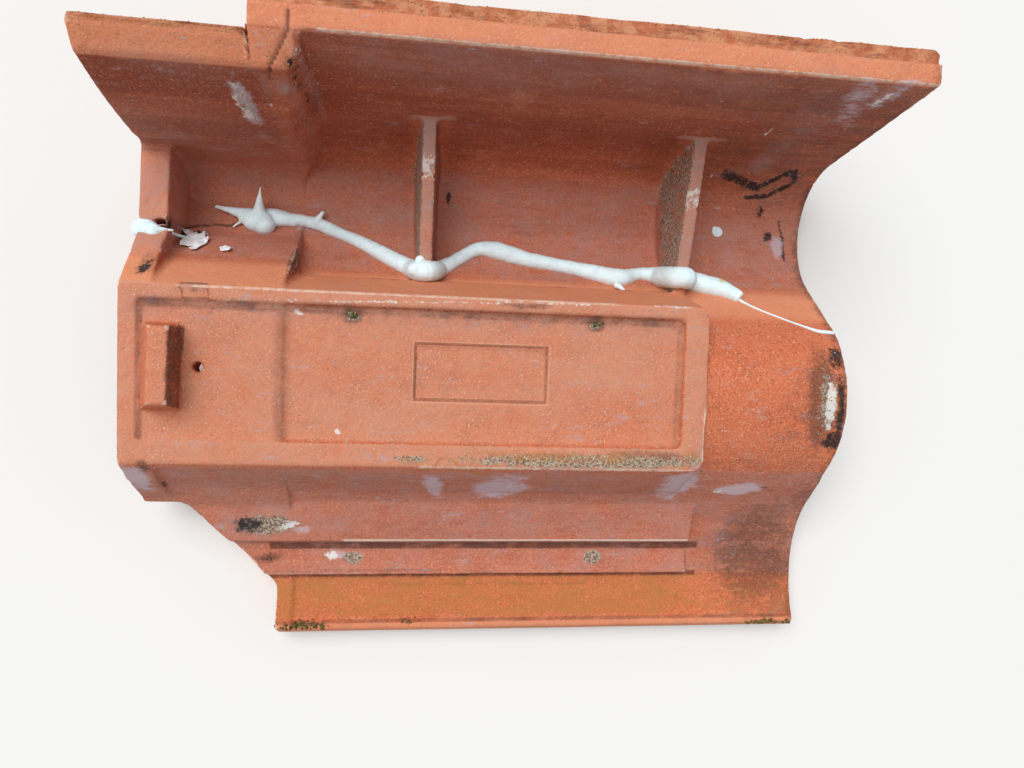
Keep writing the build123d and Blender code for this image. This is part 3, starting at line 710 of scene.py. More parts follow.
# Marks on the clay: layer, x, y, half length, half width, turn and strength,
# in millimetres and degrees, seen from above
MARKS = (
    ("soot", -102, 127, 2.8, 3.0, 10, 1),
    ("grime_and_shade", -104, 128, 4.9, 5.1, 0, 0.45),
    ("deep_and_shade", -103, 127, 13.3, 12.0, 0, 0.6),
    ("haze_and_shade", -106, 122, 8.1, 2.1, 0, 1),
    ("mortar", -99, 131, 3.4, 2.4, 0, 0.5),
    ("haze_and_shade", -116, 122, 2.6, 2.4, 0, 0.8),
    ("chalk", -98, 133, 3.0, 1.2, 0, 0.5),
    ("haze_and_shade", -99, 131, 4.1, 3.0, 0, 0.9),
    ("lilac", -129, 121, 5.7, 1.2, -25, 0.9),
    ("mortar", -127, 119, 5.4, 3.3, -40, 0.8),
    ("lilac", -127, 119, 6.3, 3.9, -40, 1),
    ("chalk", -128, 117, 3.8, 0.9, 0, 0.9),
    ("chalk", -131, 119, 3.3, 1.5, -30, 0.6),
    ("soot", -130, 118, 1.2, 0.6, 0, 1),
    ("chalk", -116, 119, 0.9, 0.4, 0, 0.8),
    ("soot", -180, 46, 3.7, 6.4, -30, 0.75),
    ("grime_and_shade", -180, 48, 6.0, 8.2, -30, 0.6),
    ("mortar", -113, 56, 1.8, 13.6, 0, 0.55),
    # Painted shade of the step beside the shoulder, on the upper slope
    ("grime_and_shade", -113, 55, 2.3, 13.9, 0, 0.9),
    ("haze_and_shade", -155, 37, 7.0, 3.3, 0, 0.9),
    ("grime_and_shade", -154, 35, 7.0, 2.4, 0, 0.6),
    ("soot", 142, 123, 6.8, 2.5, -15, 0.9),
    ("grime_and_shade", 151, 120, 7.5, 3.7, -15, 0.7),
    ("soot", 167, 106, 2.6, 5.2, 0, 0.65),
    ("soot", 168, 107, 1.1, 0.9, 0, 1),
    ("soot", 174, 92, 4.0, 4.4, -40, 0.9),
    ("lilac", 181, 86, 4.8, 8.4, 5, 1.2),
    ("haze_and_shade", 154, 128, 9.1, 5.2, 0, 0.9),
    ("lilac", 139, 107, 3.9, 1.4, 0, 0.7),
    ("haze_and_shade", 174, 105, 29.9, 26.3, 0, 0.5),
    ("chalk", 138, 132, 1.3, 0.7, 20, 0.9),
    ("haze_and_shade", 151, 136, 24.1, 6.6, -18, 0.5),
    ("lilac", 164, 137, 14.2, 2.9, -14, 0.7),
    ("lilac", 177, 138, 8.4, 3.0, 10, 0.85),
    ("chalk", 176, 137, 2.8, 1.0, 12, 0.8),
    ("chalk", 128, 122, 1.2, 1.5, 0, 0.8),
    ("soot", -29, 103, 2.4, 4.3, 0, 0.85),
    ("mortar", -26, 99, 2.4, 2.3, 0, 0.7),
    ("chalk", 185, -13, 4.2, 16.9, 0, 1.1),
    ("mortar", 183, -11, 6.7, 22.4, 0, 0.8),
    ("soot", 190, -34, 8.0, 7.3, 0, 1.1),
    ("soot", 190, 13, 5.4, 9.5, 0, 0.85),
    ("soot", 191, -16, 3.7, 24.8, 0, 0.95),
    ("grime_and_shade", 180, -11, 11.8, 35.7, 0, 1),
    ("ochre", 189, -13, 2.4, 10.1, 0, 0.7),
    ("grime_and_shade", 167, -22, 17.8, 34.1, 0, 0.35),
    ("mortar", -127, -90, 21.4, 7.2, 2, 1.1),
    ("soot", -136, -90, 12.0, 6.5, 2, 0.85),
    ("chalk", -114, -90, 7.0, 3.0, 10, 0.75),
    ("lilac", -108, -93, 6.6, 3.0, 0, 0.6),
    ("fresh_and_lit", -123, -100, 18.7, 3.3, 0, 1),
    ("soot", -127, -111, 7.2, 3.3, 10, 0.55),
    ("grime_and_shade", -127, -111, 11.2, 4.4, 10, 0.8),
    ("mortar", -79, -111, 8.0, 4.4, -4, 1.1),
    ("chalk", -91, -110, 4.6, 3.3, 0, 1),
    ("lilac", -89, -109, 6.9, 3.9, 0, 0.9),
    ("mortar", 65, -111, 8.3, 5.1, 0, 1.1),
    ("moss", 65, -111, 5.7, 3.4, 0, 0.35),
    ("soot", 59, -111, 1.8, 2.8, 0, 0.4),
    ("grime_and_shade", -179, -53, 4.2, 4.9, 0, 0.8),
    ("lilac", -185, -61, 7.3, 10.1, 0, 1),
    ("soot", -175, -65, 1.2, 2.7, 0, 0.6),
    # Painted shade of the step beside the shoulder, on the foot slope
    ("grime_and_shade", -113, -70, 1.5, 17.0, 0, 0.5),
    ("lilac", -34, -65, 6.1, 10.5, 30, 1),
    ("chalk", -36, -69, 2.2, 6.6, 30, 0.3),
    ("lilac", 3, -65, 19.2, 9.4, 12, 1),
    ("haze_and_shade", 35, -59, 44.6, 9.5, 0, 0.8),
    ("chalk", 9, -63, 7.8, 2.3, 10, 0.3),
    ("lilac", 107, -61, 15.3, 13.5, 45, 1),
    ("haze_and_shade", -19, -66, 67.2, 9.3, 0, 0.6),
    ("haze_and_shade", 109, -43, 5.8, 6.6, 0, 0.9),
    ("lilac", 147, -65, 17.3, 5.3, 4, 1),
    ("chalk", 134, -67, 3.7, 1.5, 0, 0.6),
    ("soot", 161, -64, 3.8, 2.3, 0, 0.6),
    ("mortar", 45, -47, 81.8, 4.9, 0, 1.15),
    ("ochre", 31, -45, 79.9, 4.8, 0, 0.75),
    ("grime_and_shade", 81, -45, 33.7, 5.5, 0, 0.7),
    ("mortar", -47, -47, 11.3, 2.6, 0, 0.9),
    ("mortar", 104, -45, 6.8, 4.4, 0, 0.8),
    ("ochre", 104, -43, 8.0, 5.5, 0, 0.6),
    ("grime_and_shade", -79, 26, 8.5, 5.5, 0, 1),
    ("mortar", -79, 25, 6.0, 4.0, 0, 0.75),
    ("moss", -79, 26, 6.0, 4.0, 0, 0.75),
    ("grime_and_shade", 49, 26, 6.6, 4.8, 0, 1),
    ("mortar", 49, 25, 4.9, 3.2, 0, 0.7),
    ("moss", 49, 26, 4.9, 3.2, 0, 0.75),
    ("grime_and_shade", 81, 29, 11.1, 3.1, 0, 0.5),
    ("grime_and_shade", 11, 34, 16.8, 2.6, 0, 0.75),
    ("ochre", 7, 35, 11.6, 2.1, 0, 0.5),
    ("chalk", -105, 26, 3.9, 1.6, -10, 1),
    ("chalk", -84, 10, 1.2, 0.8, 0, 0.8),
    ("chalk", -85, -34, 2.5, 1.5, -20, 0.9),
    ("chalk", 88, 37, 14.2, 1.0, 0, 0.8),
    ("moss", -105, -150, 18.1, 3.4, 0, 0.85),
    ("moss", -45, -148, 9.4, 3.2, 0, 0.6),
    ("moss", 179, -152, 23.0, 2.7, 0, 0.8),
    ("ochre", -97, -136, 34.3, 11.0, 0, 0.5),
    ("ochre", 9, -138, 109.7, 9.1, 0, 0.5),
    ("grime_and_shade", 172, -111, 40.4, 46.7, 0, 0.8),
    ("grime_and_shade", 9, -128, 134.6, 1.5, 0, 0.6),
    ("grime_and_shade", -74, -118, 86.0, 1.4, 0, 0.4),
    ("ochre", 162, -139, 40.0, 14.2, 0, 0.5),
    ("grime_and_shade", 190, -73, 13.0, 24.8, 0, 0.5),
    ("haze_and_shade", -154, 125, 28.9, 4.2, -4, 0.4),
    ("grime_and_shade", -122, 135, 3.7, 1.0, -20, 0.9),
    ("haze_and_shade", -26, 137, 88.6, 3.6, 0, 0.7),
    ("fresh_and_lit", -169, 13, 4.5, 1.9, 0, 0.6),
    ("chalk", -161, 17, 1.2, 1.6, 0, 0.5),
    ("lilac", -13, 13, 1.6, 1.0, 0, 0.3),
)

# Thin marks: layer, width, strength and the line, in millimetres seen from above
STROKES = (
    ("soot", 2, 0.92, (
        (159.7, 119.0), (166.4, 121.5), (172.6, 125.0), (177.6, 125.6), (181.3, 123.1),
        (180.0, 120.8), (173.6, 117.7), (168.4, 115.0), (159.7, 114.0), (154.5, 113.8),
    )),
    ("soot", 3, 0.85, ((135.3, 123.5), (142.1, 122.1), (150.7, 120.8), (160.0, 118.5))),
    ("soot", 1.6, 0.8, ((181.0, 101.3), (184.6, 90.4), (185.5, 77.4))),
    ("crack", 1.6, 1, ((-186.9, 69.5), (-180.0, 69.7), (-175.7, 70.0), (-175.9, 73.4))),
    ("crack", 1, 0.8, (
        (-175.9, 73.4), (-174.7, 77.3), (-168.7, 78.7), (-161.2, 79.5), (-154.6, 79.7),
        (-149.2, 80.4),
    )),
    # Painted highlight where the clay curves up above the crack
    ("fresh_and_lit", 7, 1, ((-176.4, 73.2), (-175.4, 83.1), (-165.3, 86.6), (-156.2, 84.1), (-148.3, 82.7))),
    ("crack", 0.9, 0.75, ((-103.2, 145.7), (-103.6, 136.8), (-108.4, 129.7), (-112.8, 123.8))),
    ("chalk", 1, 0.5, ((-139.8, 31.0), (-104.3, 31.5), (-54.8, 33.1), (7.0, 35.3), (49.7, 36.1))),
    ("ochre", 1.2, 0.9, (
        (-50.0, -46.8), (-45.8, -48.8), (-41.0, -53.3), (-35.9, -51.9), (-32.0, -47.0),
        (-26.8, -46.4), (-21.4, -51.7), (-14.5, -54.9), (-5.6, -56.2),
    )),
    ("chalk", 0.9, 0.5, ((-131.0, 121.7), (-125.4, 120.4))),
    ("grime_and_shade", 1.2, 0.75, ((-161.6, 38.0), (-148.9, 38.1), (-148.3, 31.1), (-160.5, 31.0), (-161.6, 38.0))),
)


def zones(points, normals):
    """Broad finish zones of the clay, painted light and shade among them: each layer's strength at points.
    """
    x, y, z = points.T
    up = normals[:, 2]
    across = normals[:, 1]
    inside = ease(up, 0.05, 0.3)
    uneven = rough(points, (60, 30, 40), 3)
    patchy = rough(points, (22, 13, 16), 4)
    fine = rough(points, (14, 9, 12), 5)
    head = x < SHOULDER
    channel = band(y, 52, 139, 6) * (z < 141.5) * np.where(head & (y > 124), 1 - ease(z, 131, 133), 1)
    channel = channel * (1 - ease(y, 100, 110) * ease(across, 0.1, 0.4)) * ease(up, -0.5, -0.2)
    wall = channel * ease(y, 96, 112) * (1 - ease(z, 136, 141))
    slope = band(y, 38, 62, 9) * inside
    panel = band(y, PANEL_FOOT, PANEL_TOP, 2) * (x < PANEL_TAIL) * ease(up, 0.6, 0.9)
    foot_slope = band(y, -100, -56, 5)
    cover = (1 - ease(y, -98, -94)) * inside
    strip = (1 - ease(y, -124, -120)) * inside
    zone = {name: np.zeros(len(points)) for name in (
        "fresh_and_lit", "deep_and_shade", "brushed", "dust", "haze_and_shade", "grime_and_shade", "soot", "mortar", "lilac",
        "chalk", "ochre", "moss", "broken", "crack", "lit_and_pale", "tufts", "grains",
    )}
    # The channel darkens towards the flange wall: weathering, and painted shade of the wall turned from
    # the lamp
    zone["deep_and_shade"] = channel * (0.15 + 0.15 * ease(y, 78, 96) + 0.5 * ease(y, 104, 124))
    # Painted shade on the flange wall, darker towards the tail
    zone["deep_and_shade"] += wall * (0.1 + 0.75 * ease(x, 60, 140) + 0.5 * ease(-x, 112, 118)) * ease(z, 30, 70)
    zone["deep_and_shade"] = zone["deep_and_shade"] * (1 - 0.25 * channel * band(y, 98, 124, 6))
    # Painted shade on the foot slope where it turns from the lamp
    zone["deep_and_shade"] = np.maximum(zone["deep_and_shade"], foot_slope * ease(-across, 0.2, 0.6) * 0.45)
    # Orange on the slope below the channel, which faces the lamp, is painted light
    zone["fresh_and_lit"] = np.clip(0.75 * slope * ease(across, 0.15, 0.5) + cover * 0.12, 0, 1)
    zone["fresh_and_lit"] = np.maximum(zone["fresh_and_lit"], strip * 0.35)
    # Orange band on the foot rim's inner side, which faces the lamp, is painted light
    zone["fresh_and_lit"] = np.maximum(zone["fresh_and_lit"], panel * (0.1 + 0.6 * band(y, -40.0, -35.0, 2.5)))
    zone["brushed"] = np.clip(channel * ease(up, -0.1, 0.08), 0, 1)
    zone["brushed"] = np.maximum(zone["brushed"], (0.8 * foot_slope + 0.4 * cover) * inside)
    zone["dust"] = panel * (0.3 + 0.7 * uneven) + 0.25 * uneven
    rim = band(y, 29, PANEL_TOP + 1, 1.5) + band(y, PANEL_FOOT - 1, -40, 1.5)
    rim += band(x, 97, PANEL_TAIL, 1) + band(x, HEAD, -181, 1)
    zone["dust"] = np.clip(zone["dust"] + panel * rim * 0.6, 0, 1)
    zone["haze_and_shade"] = wall * ease(x, -100, -60) * ease(z, 92, 134) * 0.6
    zone["haze_and_shade"] += channel * band(y, 60, 110, 10) * (0.45 + 0.6 * patchy)
    zone["haze_and_shade"] += foot_slope * inside * (0.3 + 0.7 * patchy)
    zone["haze_and_shade"] = np.clip(zone["haze_and_shade"], 0, 1)
    zone["fresh_and_lit"] = np.maximum(zone["fresh_and_lit"], panel * ease(-y, 14, 38) * 0.5)
    # Painted shade along the inside of the top rim, laid into the grime and haze layers
    shade = panel * (x < 97) * ease(y, 16, 29) * (1 - ease(y, 29.5, 31)) * 0.6
    zone["grime_and_shade"] = np.maximum(zone["grime_and_shade"], shade * (0.3 + 0.4 * patchy))
    zone["haze_and_shade"] = np.clip(zone["haze_and_shade"] + shade * 0.7, 0, 1)
    # Less haze on the flange wall towards the tail, so it stays dark as painted shade
    zone["haze_and_shade"] = zone["haze_and_shade"] * (1 - 0.6 * wall * ease(x, 90, 150))
    groove = band(y, -121, -102, 1) * inside
    zone["fresh_and_lit"] = zone["fresh_and_lit"] * (1 - 0.7 * groove)
    zone["haze_and_shade"] = np.clip(zone["haze_and_shade"] + groove * (0.25 + 0.6 * patchy), 0, 1)
    # Painted shade in the lock groove and on the foot slope
    zone["deep_and_shade"] = np.maximum(zone["deep_and_shade"], 0.3 * groove)
    zone["deep_and_shade"] = np.maximum(zone["deep_and_shade"], 0.25 * foot_slope * inside)
    tailward = 1 - 0.5 * ease(x, 110, 150)
    zone["ochre"] = strip * tailward * (0.55 + 0.4 * uneven) * (1 - ease(-y, 144, 149))
    zone["lit_and_pale"] = ease(-y, 148, 149.5) * inside * (0.4 + 0.5 * fine)
    for place, line in RIBS:
        top = 43 + 29 * (y - 52) / 78
        rib = band(x, place - 11, place + 11, 1) * channel * (z > 22) * (z < top + 1.5)
        head_side = rib * ease(-normals[:, 0], 0.3, 0.8)
        tail_side = rib * ease(normals[:, 0], 0.3, 0.8)
        crest = rib * (z > top - 2)
        zone["mortar"] = np.maximum(zone["mortar"], head_side * (0.5 + 0.4 * fine))
        # Painted shade on the ribs' tail sides, turned from the lamp
        zone["grime_and_shade"] = np.maximum(zone["grime_and_shade"], tail_side * 0.6)
        zone["haze_and_shade"] = np.maximum(zone["haze_and_shade"], crest * ease(y, line - 3, line) * 1.0)
        zone["dust"] = np.maximum(zone["dust"], crest * 0.8)
        zone["chalk"] = np.maximum(zone["chalk"], crest * band(y, line, line + 9, 3) * 0.5)
        zone["deep_and_shade"] = zone["deep_and_shade"] * (1 - 0.6 * rib)
    closing = (x < -175) * band(y, 44, 106, 2) * (z > 46) * ease(up, 0.5, 0.8)
    zone["deep_and_shade"] = zone["deep_and_shade"] * (1 - 0.8 * closing)
    # Painted light on the head band's top and on the top slope that faces the lamp
    zone["lit_and_pale"] = np.maximum(zone["lit_and_pale"], closing * 0.55)
    top_slope = band(y, 38, 50, 6) * inside * ease(across, 0.15, 0.5)
    zone["lit_and_pale"] = np.maximum(zone["lit_and_pale"], top_slope * (0.7 + 0.3 * patchy))
    # Painted shade on the nib's tail side, turned from the lamp
    nib_side = (z > 76) * ease(normals[:, 0], 0.25, 0.5) * band(x, -172, -158, 1) * band(y, -30, 16, 1)
    zone["deep_and_shade"] = np.maximum(zone["deep_and_shade"], nib_side * 0.7)
    zone["grime_and_shade"] = np.maximum(zone["grime_and_shade"], nib_side * (0.45 + 0.5 * fine))
    lip = (z > LIP_TOP - 2.5) * band(y, LIP_IN, LIP_OUT - 8.3, 0.8) * ~head
    lip = lip + (z > 131.5) * (x < -101) * band(y, 124.8, 137, 0.8)
    lip = np.clip(lip, 0, 1)
    # Painted light on the lip's top face
    zone["lit_and_pale"] = np.maximum(zone["lit_and_pale"], lip * (0.4 + 0.4 * fine))
    zone["deep_and_shade"] = zone["deep_and_shade"] * (1 - lip)
    zone["brushed"] = zone["brushed"] * (1 - lip)
    cut = (z > LIP_TOP - 4) * ease(y, LIP_OUT - 9.2, LIP_OUT - 8.2) * ~head
    cut = cut + (z > 134) * head * ease(y, 134.8, 136.2)
    cut = np.clip(cut, 0, 1)
    zone["broken"] = np.maximum(cut, (z > 120) * ease(x, TAIL - 5, TAIL - 1) * 0.8)
    zone["ochre"] = np.maximum(zone["ochre"], cut * ease(fine, 0.45, 0.65) * 0.9)
    zone["grime_and_shade"] = np.maximum(zone["grime_and_shade"], cut * ease(rough(points, (16, 2.5, 5), 23), 0.5, 0.66))
    # Painted shade on the flange wall, darker towards the tail
    zone["grime_and_shade"] = np.maximum(zone["grime_and_shade"], wall * ease(x, 50, 150) * (0.2 + 0.3 * uneven))
    tail = ease(x, TAIL - 9, TAIL - 2) * (z > 12)
    zone["grime_and_shade"] = np.maximum(zone["grime_and_shade"], tail * (0.3 + 0.6 * fine))
    under = ease(-up, 0.2, 0.6)
    zone["haze_and_shade"] = np.maximum(zone["haze_and_shade"], under * 0.45 * uneven)
    zone["grime_and_shade"] = np.maximum(zone["grime_and_shade"], under * ease(uneven, 0.5, 0.75) * 0.8)
    zone["moss"] = under * ease(rough(points, (32, 24, 20), 41), 0.58, 0.78) * 0.8
    facing = ease(up, -0.1, 0.15)
    for name, mx, my, rx, ry, turn, strength in MARKS:
        mark = spot(points, mx, my, rx, ry, turn) * facing * strength
        zone[name] = np.maximum(zone[name], mark)
        if name == "moss":
            zone["tufts"] = np.maximum(zone["tufts"], mark**2)
        if name in ("mortar", "ochre") and my > -60:
            zone["grains"] = np.maximum(zone["grains"], mark**2)
    for name, width, strength, line in STROKES:
        mark = stroke(points, line, width) * facing * strength
        zone[name] = np.maximum(zone[name], mark)
    return zone


def raise_head_lip(points):
    """Head part's lip drawn up to the height of the main one, along its outer edge."""
    x, y, z = points.T
    lift = 14 * np.clip((y - 124.8) / 12.6, 0, 1) * np.clip((z - 112) / 17, 0, 1)
    raised = points.copy()
    raised[:, 2] += lift * (x < SHOULDER + 0.1)
    return raised


def wear_clay(points, normals, pairs):
    """Worn, chipped and crumbled surface: new places of the tile's points."""
    x, y, z = points.T
    out = bulge(points, normals, pairs)
    out = spread_out(out, pairs, 3)
    edge = ease(out, 0.05, 0.28)
    sink = 0.28 * rough(points, (70, 45, 50), 11)
    sink += 0.2 * rough(points, (9, 7, 8), 12)
    chips = ease(rough(points, (9, 8, 8), 13), 0.60, 0.74)
    sink += edge * (0.15 + 0.35 * rough(points, (5, 5, 5), 14)) + edge * chips * 1.1
    head = x < SHOULDER
    cut = (z > LIP_TOP - 9) * ease(y, LIP_OUT - 9.2, LIP_OUT - 8.0) * ~head
    cut = cut + (z > 130) * head * ease(y, 134.8, 136.2)
    ridges = 1 - np.abs(2 * rough(points, (34, 2.8, 7), 15) - 1)
    lumps = rough(points, (6, 2.6, 4), 16)
    sink += cut * (0.2 + 0.9 * ease(ridges, 0.78, 0.98) + 0.7 * (1 - lumps))
    pits = ease(rough(points, (4.5, 4.5, 4.5), 17, 2), 0.74, 0.84)
    sink += pits * 0.4
    top = ease(normals[:, 2], 0, 0.3)
    for name, mx, my, rx, ry, turn, strength in MARKS:
        if name in ("mortar", "moss"):
            crust = spot(points, mx, my, rx, ry, turn) * strength * top
            high = 1.3 if name == "mortar" else 0.6
            sink -= high * crust * (rough(points, (3.2, 3.2, 3.2), 21) - 0.15)
    for name, width, strength, line in STROKES:
        if name == "crack":
            sink += 1.5 * strength * stroke(points, line, width) * top
    tail = ease(x, TAIL - 7, TAIL - 1) * (z > 20)
    sink += tail * edge * 0.9 * rough(points, (7, 6, 6), 18)
    flaked = band(x, 184, 197, 3) * band(y, -56, 14, 5) * (z > 30) * top
    sink += flaked * 1.2 * lumps
    moved = points - normals * sink[:, None]
    # Fine cracks across the two ribs
    for place, seat in RIBS:
        wave = seat + 1.2 * np.sin(x * 0.9) + 1.5 * (rough(points, (5, 5, 5), 19) - 0.5)
        line = (1 - ease(np.abs(y - wave), 0.35, 1.1)) * band(x, place - 9, place + 9, 1) * (z > 26)
        moved -= normals * (line * 0.9)[:, None]
    return moved


# Glue stations along the crack: x, y, half width and height, in millimetres
BEAD = (
    (-139.0, 82.8, 6.0, 5.0),
    (-134.0, 84.5, 5.5, 5.0),
    (-128.0, 85.6, 4.2, 4.4),
    (-121.0, 85.0, 3.4, 3.8),
    (-114.0, 84.6, 3.0, 3.6),
    (-105.0, 83.6, 3.4, 3.9),
    (-97.5, 80.6, 3.3, 3.7),
    (-88.0, 76.8, 2.9, 3.5),
    (-80.0, 73.4, 3.4, 3.8),
    (-71.5, 69.0, 4.0, 4.2),
    (-62.5, 63.6, 4.4, 4.6),
    (-54.0, 58.8, 4.9, 4.8),
    (-46.5, 55.6, 5.6, 5.2),
    (-40.0, 55.2, 5.6, 5.4),
    (-33.0, 57.8, 4.4, 4.8),
    (-27.0, 61.8, 3.8, 4.3),
    (-20.0, 67.2, 3.6, 4.0),
    (-13.5, 71.6, 3.4, 3.8),
    (-7.0, 73.4, 4.2, 4.0),
    (2.0, 71.8, 5.6, 4.8),
    (10.0, 69.6, 5.2, 4.6),
    (20.5, 66.8, 4.4, 4.4),
    (31.0, 65.4, 4.0, 4.2),
    (41.0, 64.0, 3.8, 4.0),
    (50.0, 62.0, 4.2, 4.3),
    (60.5, 59.4, 5.2, 4.9),
    (70.0, 57.2, 5.9, 5.2),
    (76.5, 57.6, 5.2, 4.8),
    (84.0, 60.6, 3.6, 4.0),
    (91.0, 61.4, 3.6, 4.1),
    (98.0, 59.6, 5.4, 5.4),
    (104.0, 58.6, 6.4, 5.8),
    (110.5, 58.4, 5.6, 5.6),
    (116.5, 57.4, 6.0, 5.6),
    (123.0, 55.6, 6.6, 5.6),
    (130.0, 54.2, 6.8, 5.4),
    (137.0, 52.4, 5.6, 4.9),
    (142.5, 49.6, 4.4, 4.2),
    (146.0, 47.2, 3.4, 3.4),
)

# Drawn-out tips of the glue: start, end, first and last radius
SPIKES = (
    ((-141.5, 85.0, 19.0), (-162.2, 90.4, 15.6), 4.6, 0.9),
    ((-136.6, 86.0, 21.5), (-134.7, 99.6, 30.0), 4.0, 0.45),
    ((-144.0, 84.0, 18.0), (-151.5, 78.2, 19.6), 1.0, 0.5),
    ((-139.0, 88.0, 22.0), (-136.2, 93.0, 25.0), 0.9, 0.5),
    ((-128.0, 85.0, 17.5), (-117.0, 84.4, 16.6), 4.4, 3.4),
    ((-105.0, 84.6, 17.5), (-101.2, 90.4, 18.6), 2.6, 0.9),
    ((116.0, 61.5, 28.0), (121.0, 66.0, 26.0), 2.0, 0.8),
    ((70.0, 53.5, 35.0), (74.5, 50.0, 38.0), 2.0, 0.9),
)

# Lumps of the glue: middle and radii
LUMPS = (
    ((-137.4, 82.6, 20.0), (8.6, 6.6, 6.4)),
    ((-134.2, 80.8, 20.5), (6.4, 5.8, 5.4)),
    ((-142.6, 84.6, 18.8), (6.2, 4.6, 4.4)),
    ((-45.0, 60.6, 46.5), (2.6, 2.2, 2.6)),
    ((-47.0, 55.0, 47.0), (4.6, 3.8, 3.2)),
)


BLOB_LUMPS = (
    ((-187.8, 68.6, 51.0), (6.8, 5.4, 4.8)),
    ((-183.4, 67.4, 53.2), (4.6, 3.8, 3.2)),
)
BLOB_SPIKES = (
    ((-184.0, 67.6, 53.4), (-173.5, 68.6, 51.4), 3.0, 0.6),
    ((-188.0, 71.0, 50.0), (-190.2, 73.2, 46.0), 3.0, 1.0),
)

# Thin strings of glue: stations, share of the height they are raised by, smoothing
STRINGS = (
    ((
        (144.0, 47.6, 0.9, 0.9), (152.0, 42.4, 0.6, 0.6), (165.3, 36.2, 0.5, 0.5),
        (176.0, 31.6, 0.6, 0.6), (184.4, 28.3, 1.1, 0.9), (190.0, 27.8, 1.3, 1.0),
        (194.0, 27.6, 1.0, 0.7),
    ), 0.6, 5),
    (((-176.5, 67.6, 0.9, 0.8), (-170.0, 69.6, 0.7, 0.7), (-163.0, 72.6, 0.5, 0.5)), 0.5, 7),
)

# Dabs of glue on the channel's wall: x, y and radii
DABS = ((140.6, 93.0, 3.6, 3.2, 1.3), (138.9, 95.0, 1.7, 1.6, 0.8))

# Loose skins of glue: x, y, half length, half width, turn and seed
SKINS = (
    (-168.5, 66.5, 8.5, 6.0, 24, 1),
    (-171.5, 71.0, 5.0, 3.4, -30, 2),
    (-163.8, 63.4, 5.4, 3.2, 55, 3),
    (-149.2, 60.2, 3.2, 2.0, 10, 4),
)
SKIN_GRID = 15
SKIN_THICKNESS = 0.35

# Camera that was fitted to the photograph: place in metres, and its axes
CAMERA_PLACE = (-0.0479954, -0.0085715, 0.4597841)
CAMERA_RIGHT = (0.99042021, 0.02822642, 0.13517057)
CAMERA_UP = (-0.02852884, 0.99959293, 0.00030048)
CAMERA_BACK = (-0.13510706, -0.00415386, 0.9908223)


def between(stations, step):
    """Stations joined by a smooth line, a step apart."""
    s = np.asarray(stations, float)
    s = np.vstack((2 * s[0] - s[1], s, 2 * s[-1] - s[-2]))
    line = []
    for a, b, c, d in zip(s[:-3], s[1:-2], s[2:-1], s[3:]):
        count = max(int(np.linalg.norm((c - b)[:2]) / step), 1)
        t = np.arange(count)[:, None] / count
        line.append(
            0.5 * (2 * b + (c - a) * t + (2 * a - 5 * b + 4 * c - d) * t**2
                   + (3 * b - a - 3 * c + d) * t**3)
        )
    line.append(s[-2][None])
    return np.vstack(line)


def eased_line(values, width):
    """Values of a line averaged over neighbours, with its ends kept."""
    kernel = np.hanning(width + 2)[1:-1]
    kernel /= kernel.sum()
    pad = width // 2
    held = np.pad(values, ((pad, pad), (0, 0)), mode="edge")
    return np.column_stack([np.convolve(held[:, n], kernel, "valid") for n in range(values.shape[1])])


def line_mesh(name, lines):
    """Lines of points, each with its half thickness, both in millimetres."""
    places, halves, edges = [], [], []
    for line, half in lines:
        first = len(places)
        places += [tuple(place * MM) for place in line]
        halves += list(half * MM)
        edges += [(n, n + 1) for n in range(first, len(places) - 1)]
    mesh = bpy.data.meshes.new(name)
    mesh.from_pydata(places, edges, [])
    mesh.attributes.new("half", "FLOAT", "POINT").data.foreach_set("value", halves)
    return mesh


def laid_strand(line, lift):
    """Glue line lying on a surface, raised by a share of its height."""
    places, normals, sizes = line
    return places + normals * (lift * sizes[:, 1])[:, None], sizes.mean(axis=1)


def tapered(start, end, first, last):
    """Drawn-out drop between two places, sagging a little."""
    t = np.linspace(0, 1, 14)[:, None]
    a, b = np.asarray(start, float), np.asarray(end, float)
    places = a + (b - a) * t + np.array((0, 0, 0.8)) * np.sin(np.pi * t)
    return places, last + (first - last) * (1 - t[:, 0]) ** 1.7


def lump(shell, middle, radii):
    """Oval lump."""
    turn = Matrix.Translation(Vector(middle) * MM) @ Matrix.Diagonal((*(Vector(radii) * MM), 1))
    bmesh.ops.create_icosphere(shell, subdivisions=3, radius=1, matrix=turn)


def on_surface(tree, line, sizes, smooth):
    """Places and normals of a line dropped on the tile, smoothed along it."""
    found = [drop(tree, x, y) for x, y in line]
    places = eased_line(np.array([place for place, _ in found]), smooth)
    normals = eased_line(np.array([normal for _, normal in found]), smooth)
    normals /= np.linalg.norm(normals, axis=1)[:, None]
    return places, normals, sizes


def glue_skin(obj, cell, seed):
    """Fused, slumped and unevenly dried skin over rough glue shapes."""
    mesh = remeshed(obj, cell)
    points, pairs = millimetres(mesh), edge_pairs(mesh)
    for axis in range(3):
        points[:, axis] = spread_out(points[:, axis], pairs, 5)
    move_to(mesh, points)
    normals = normals_of(mesh)
    swollen = 0.6 * (rough(points, (7, 7, 7), seed) - 0.5) + 0.25 * (
        rough(points, (2.2, 2.2, 2.2), seed + 1, 2) - 0.5
    )
    move_to(mesh, points + normals * (0.25 + swollen)[:, None])
    points, normals = millimetres(mesh), normals_of(mesh)
    out = spread_out(bulge(points, normals, pairs), pairs, 4)
    # Ridge and fold masks for the painted highlight and shade of the glue
    layer(mesh, "ridge_highlight", ease(out, 0.03, 0.12))
    layer(mesh, "fold_shade", ease(-out, 0.01, 0.12))
    stains = spot(points, 134, 59, 3.2, 2.4) + spot(points, -44, 60, 2, 2) * 0.6
    layer(mesh, "stain", stains)
    shade_smooth(mesh)
    return mesh


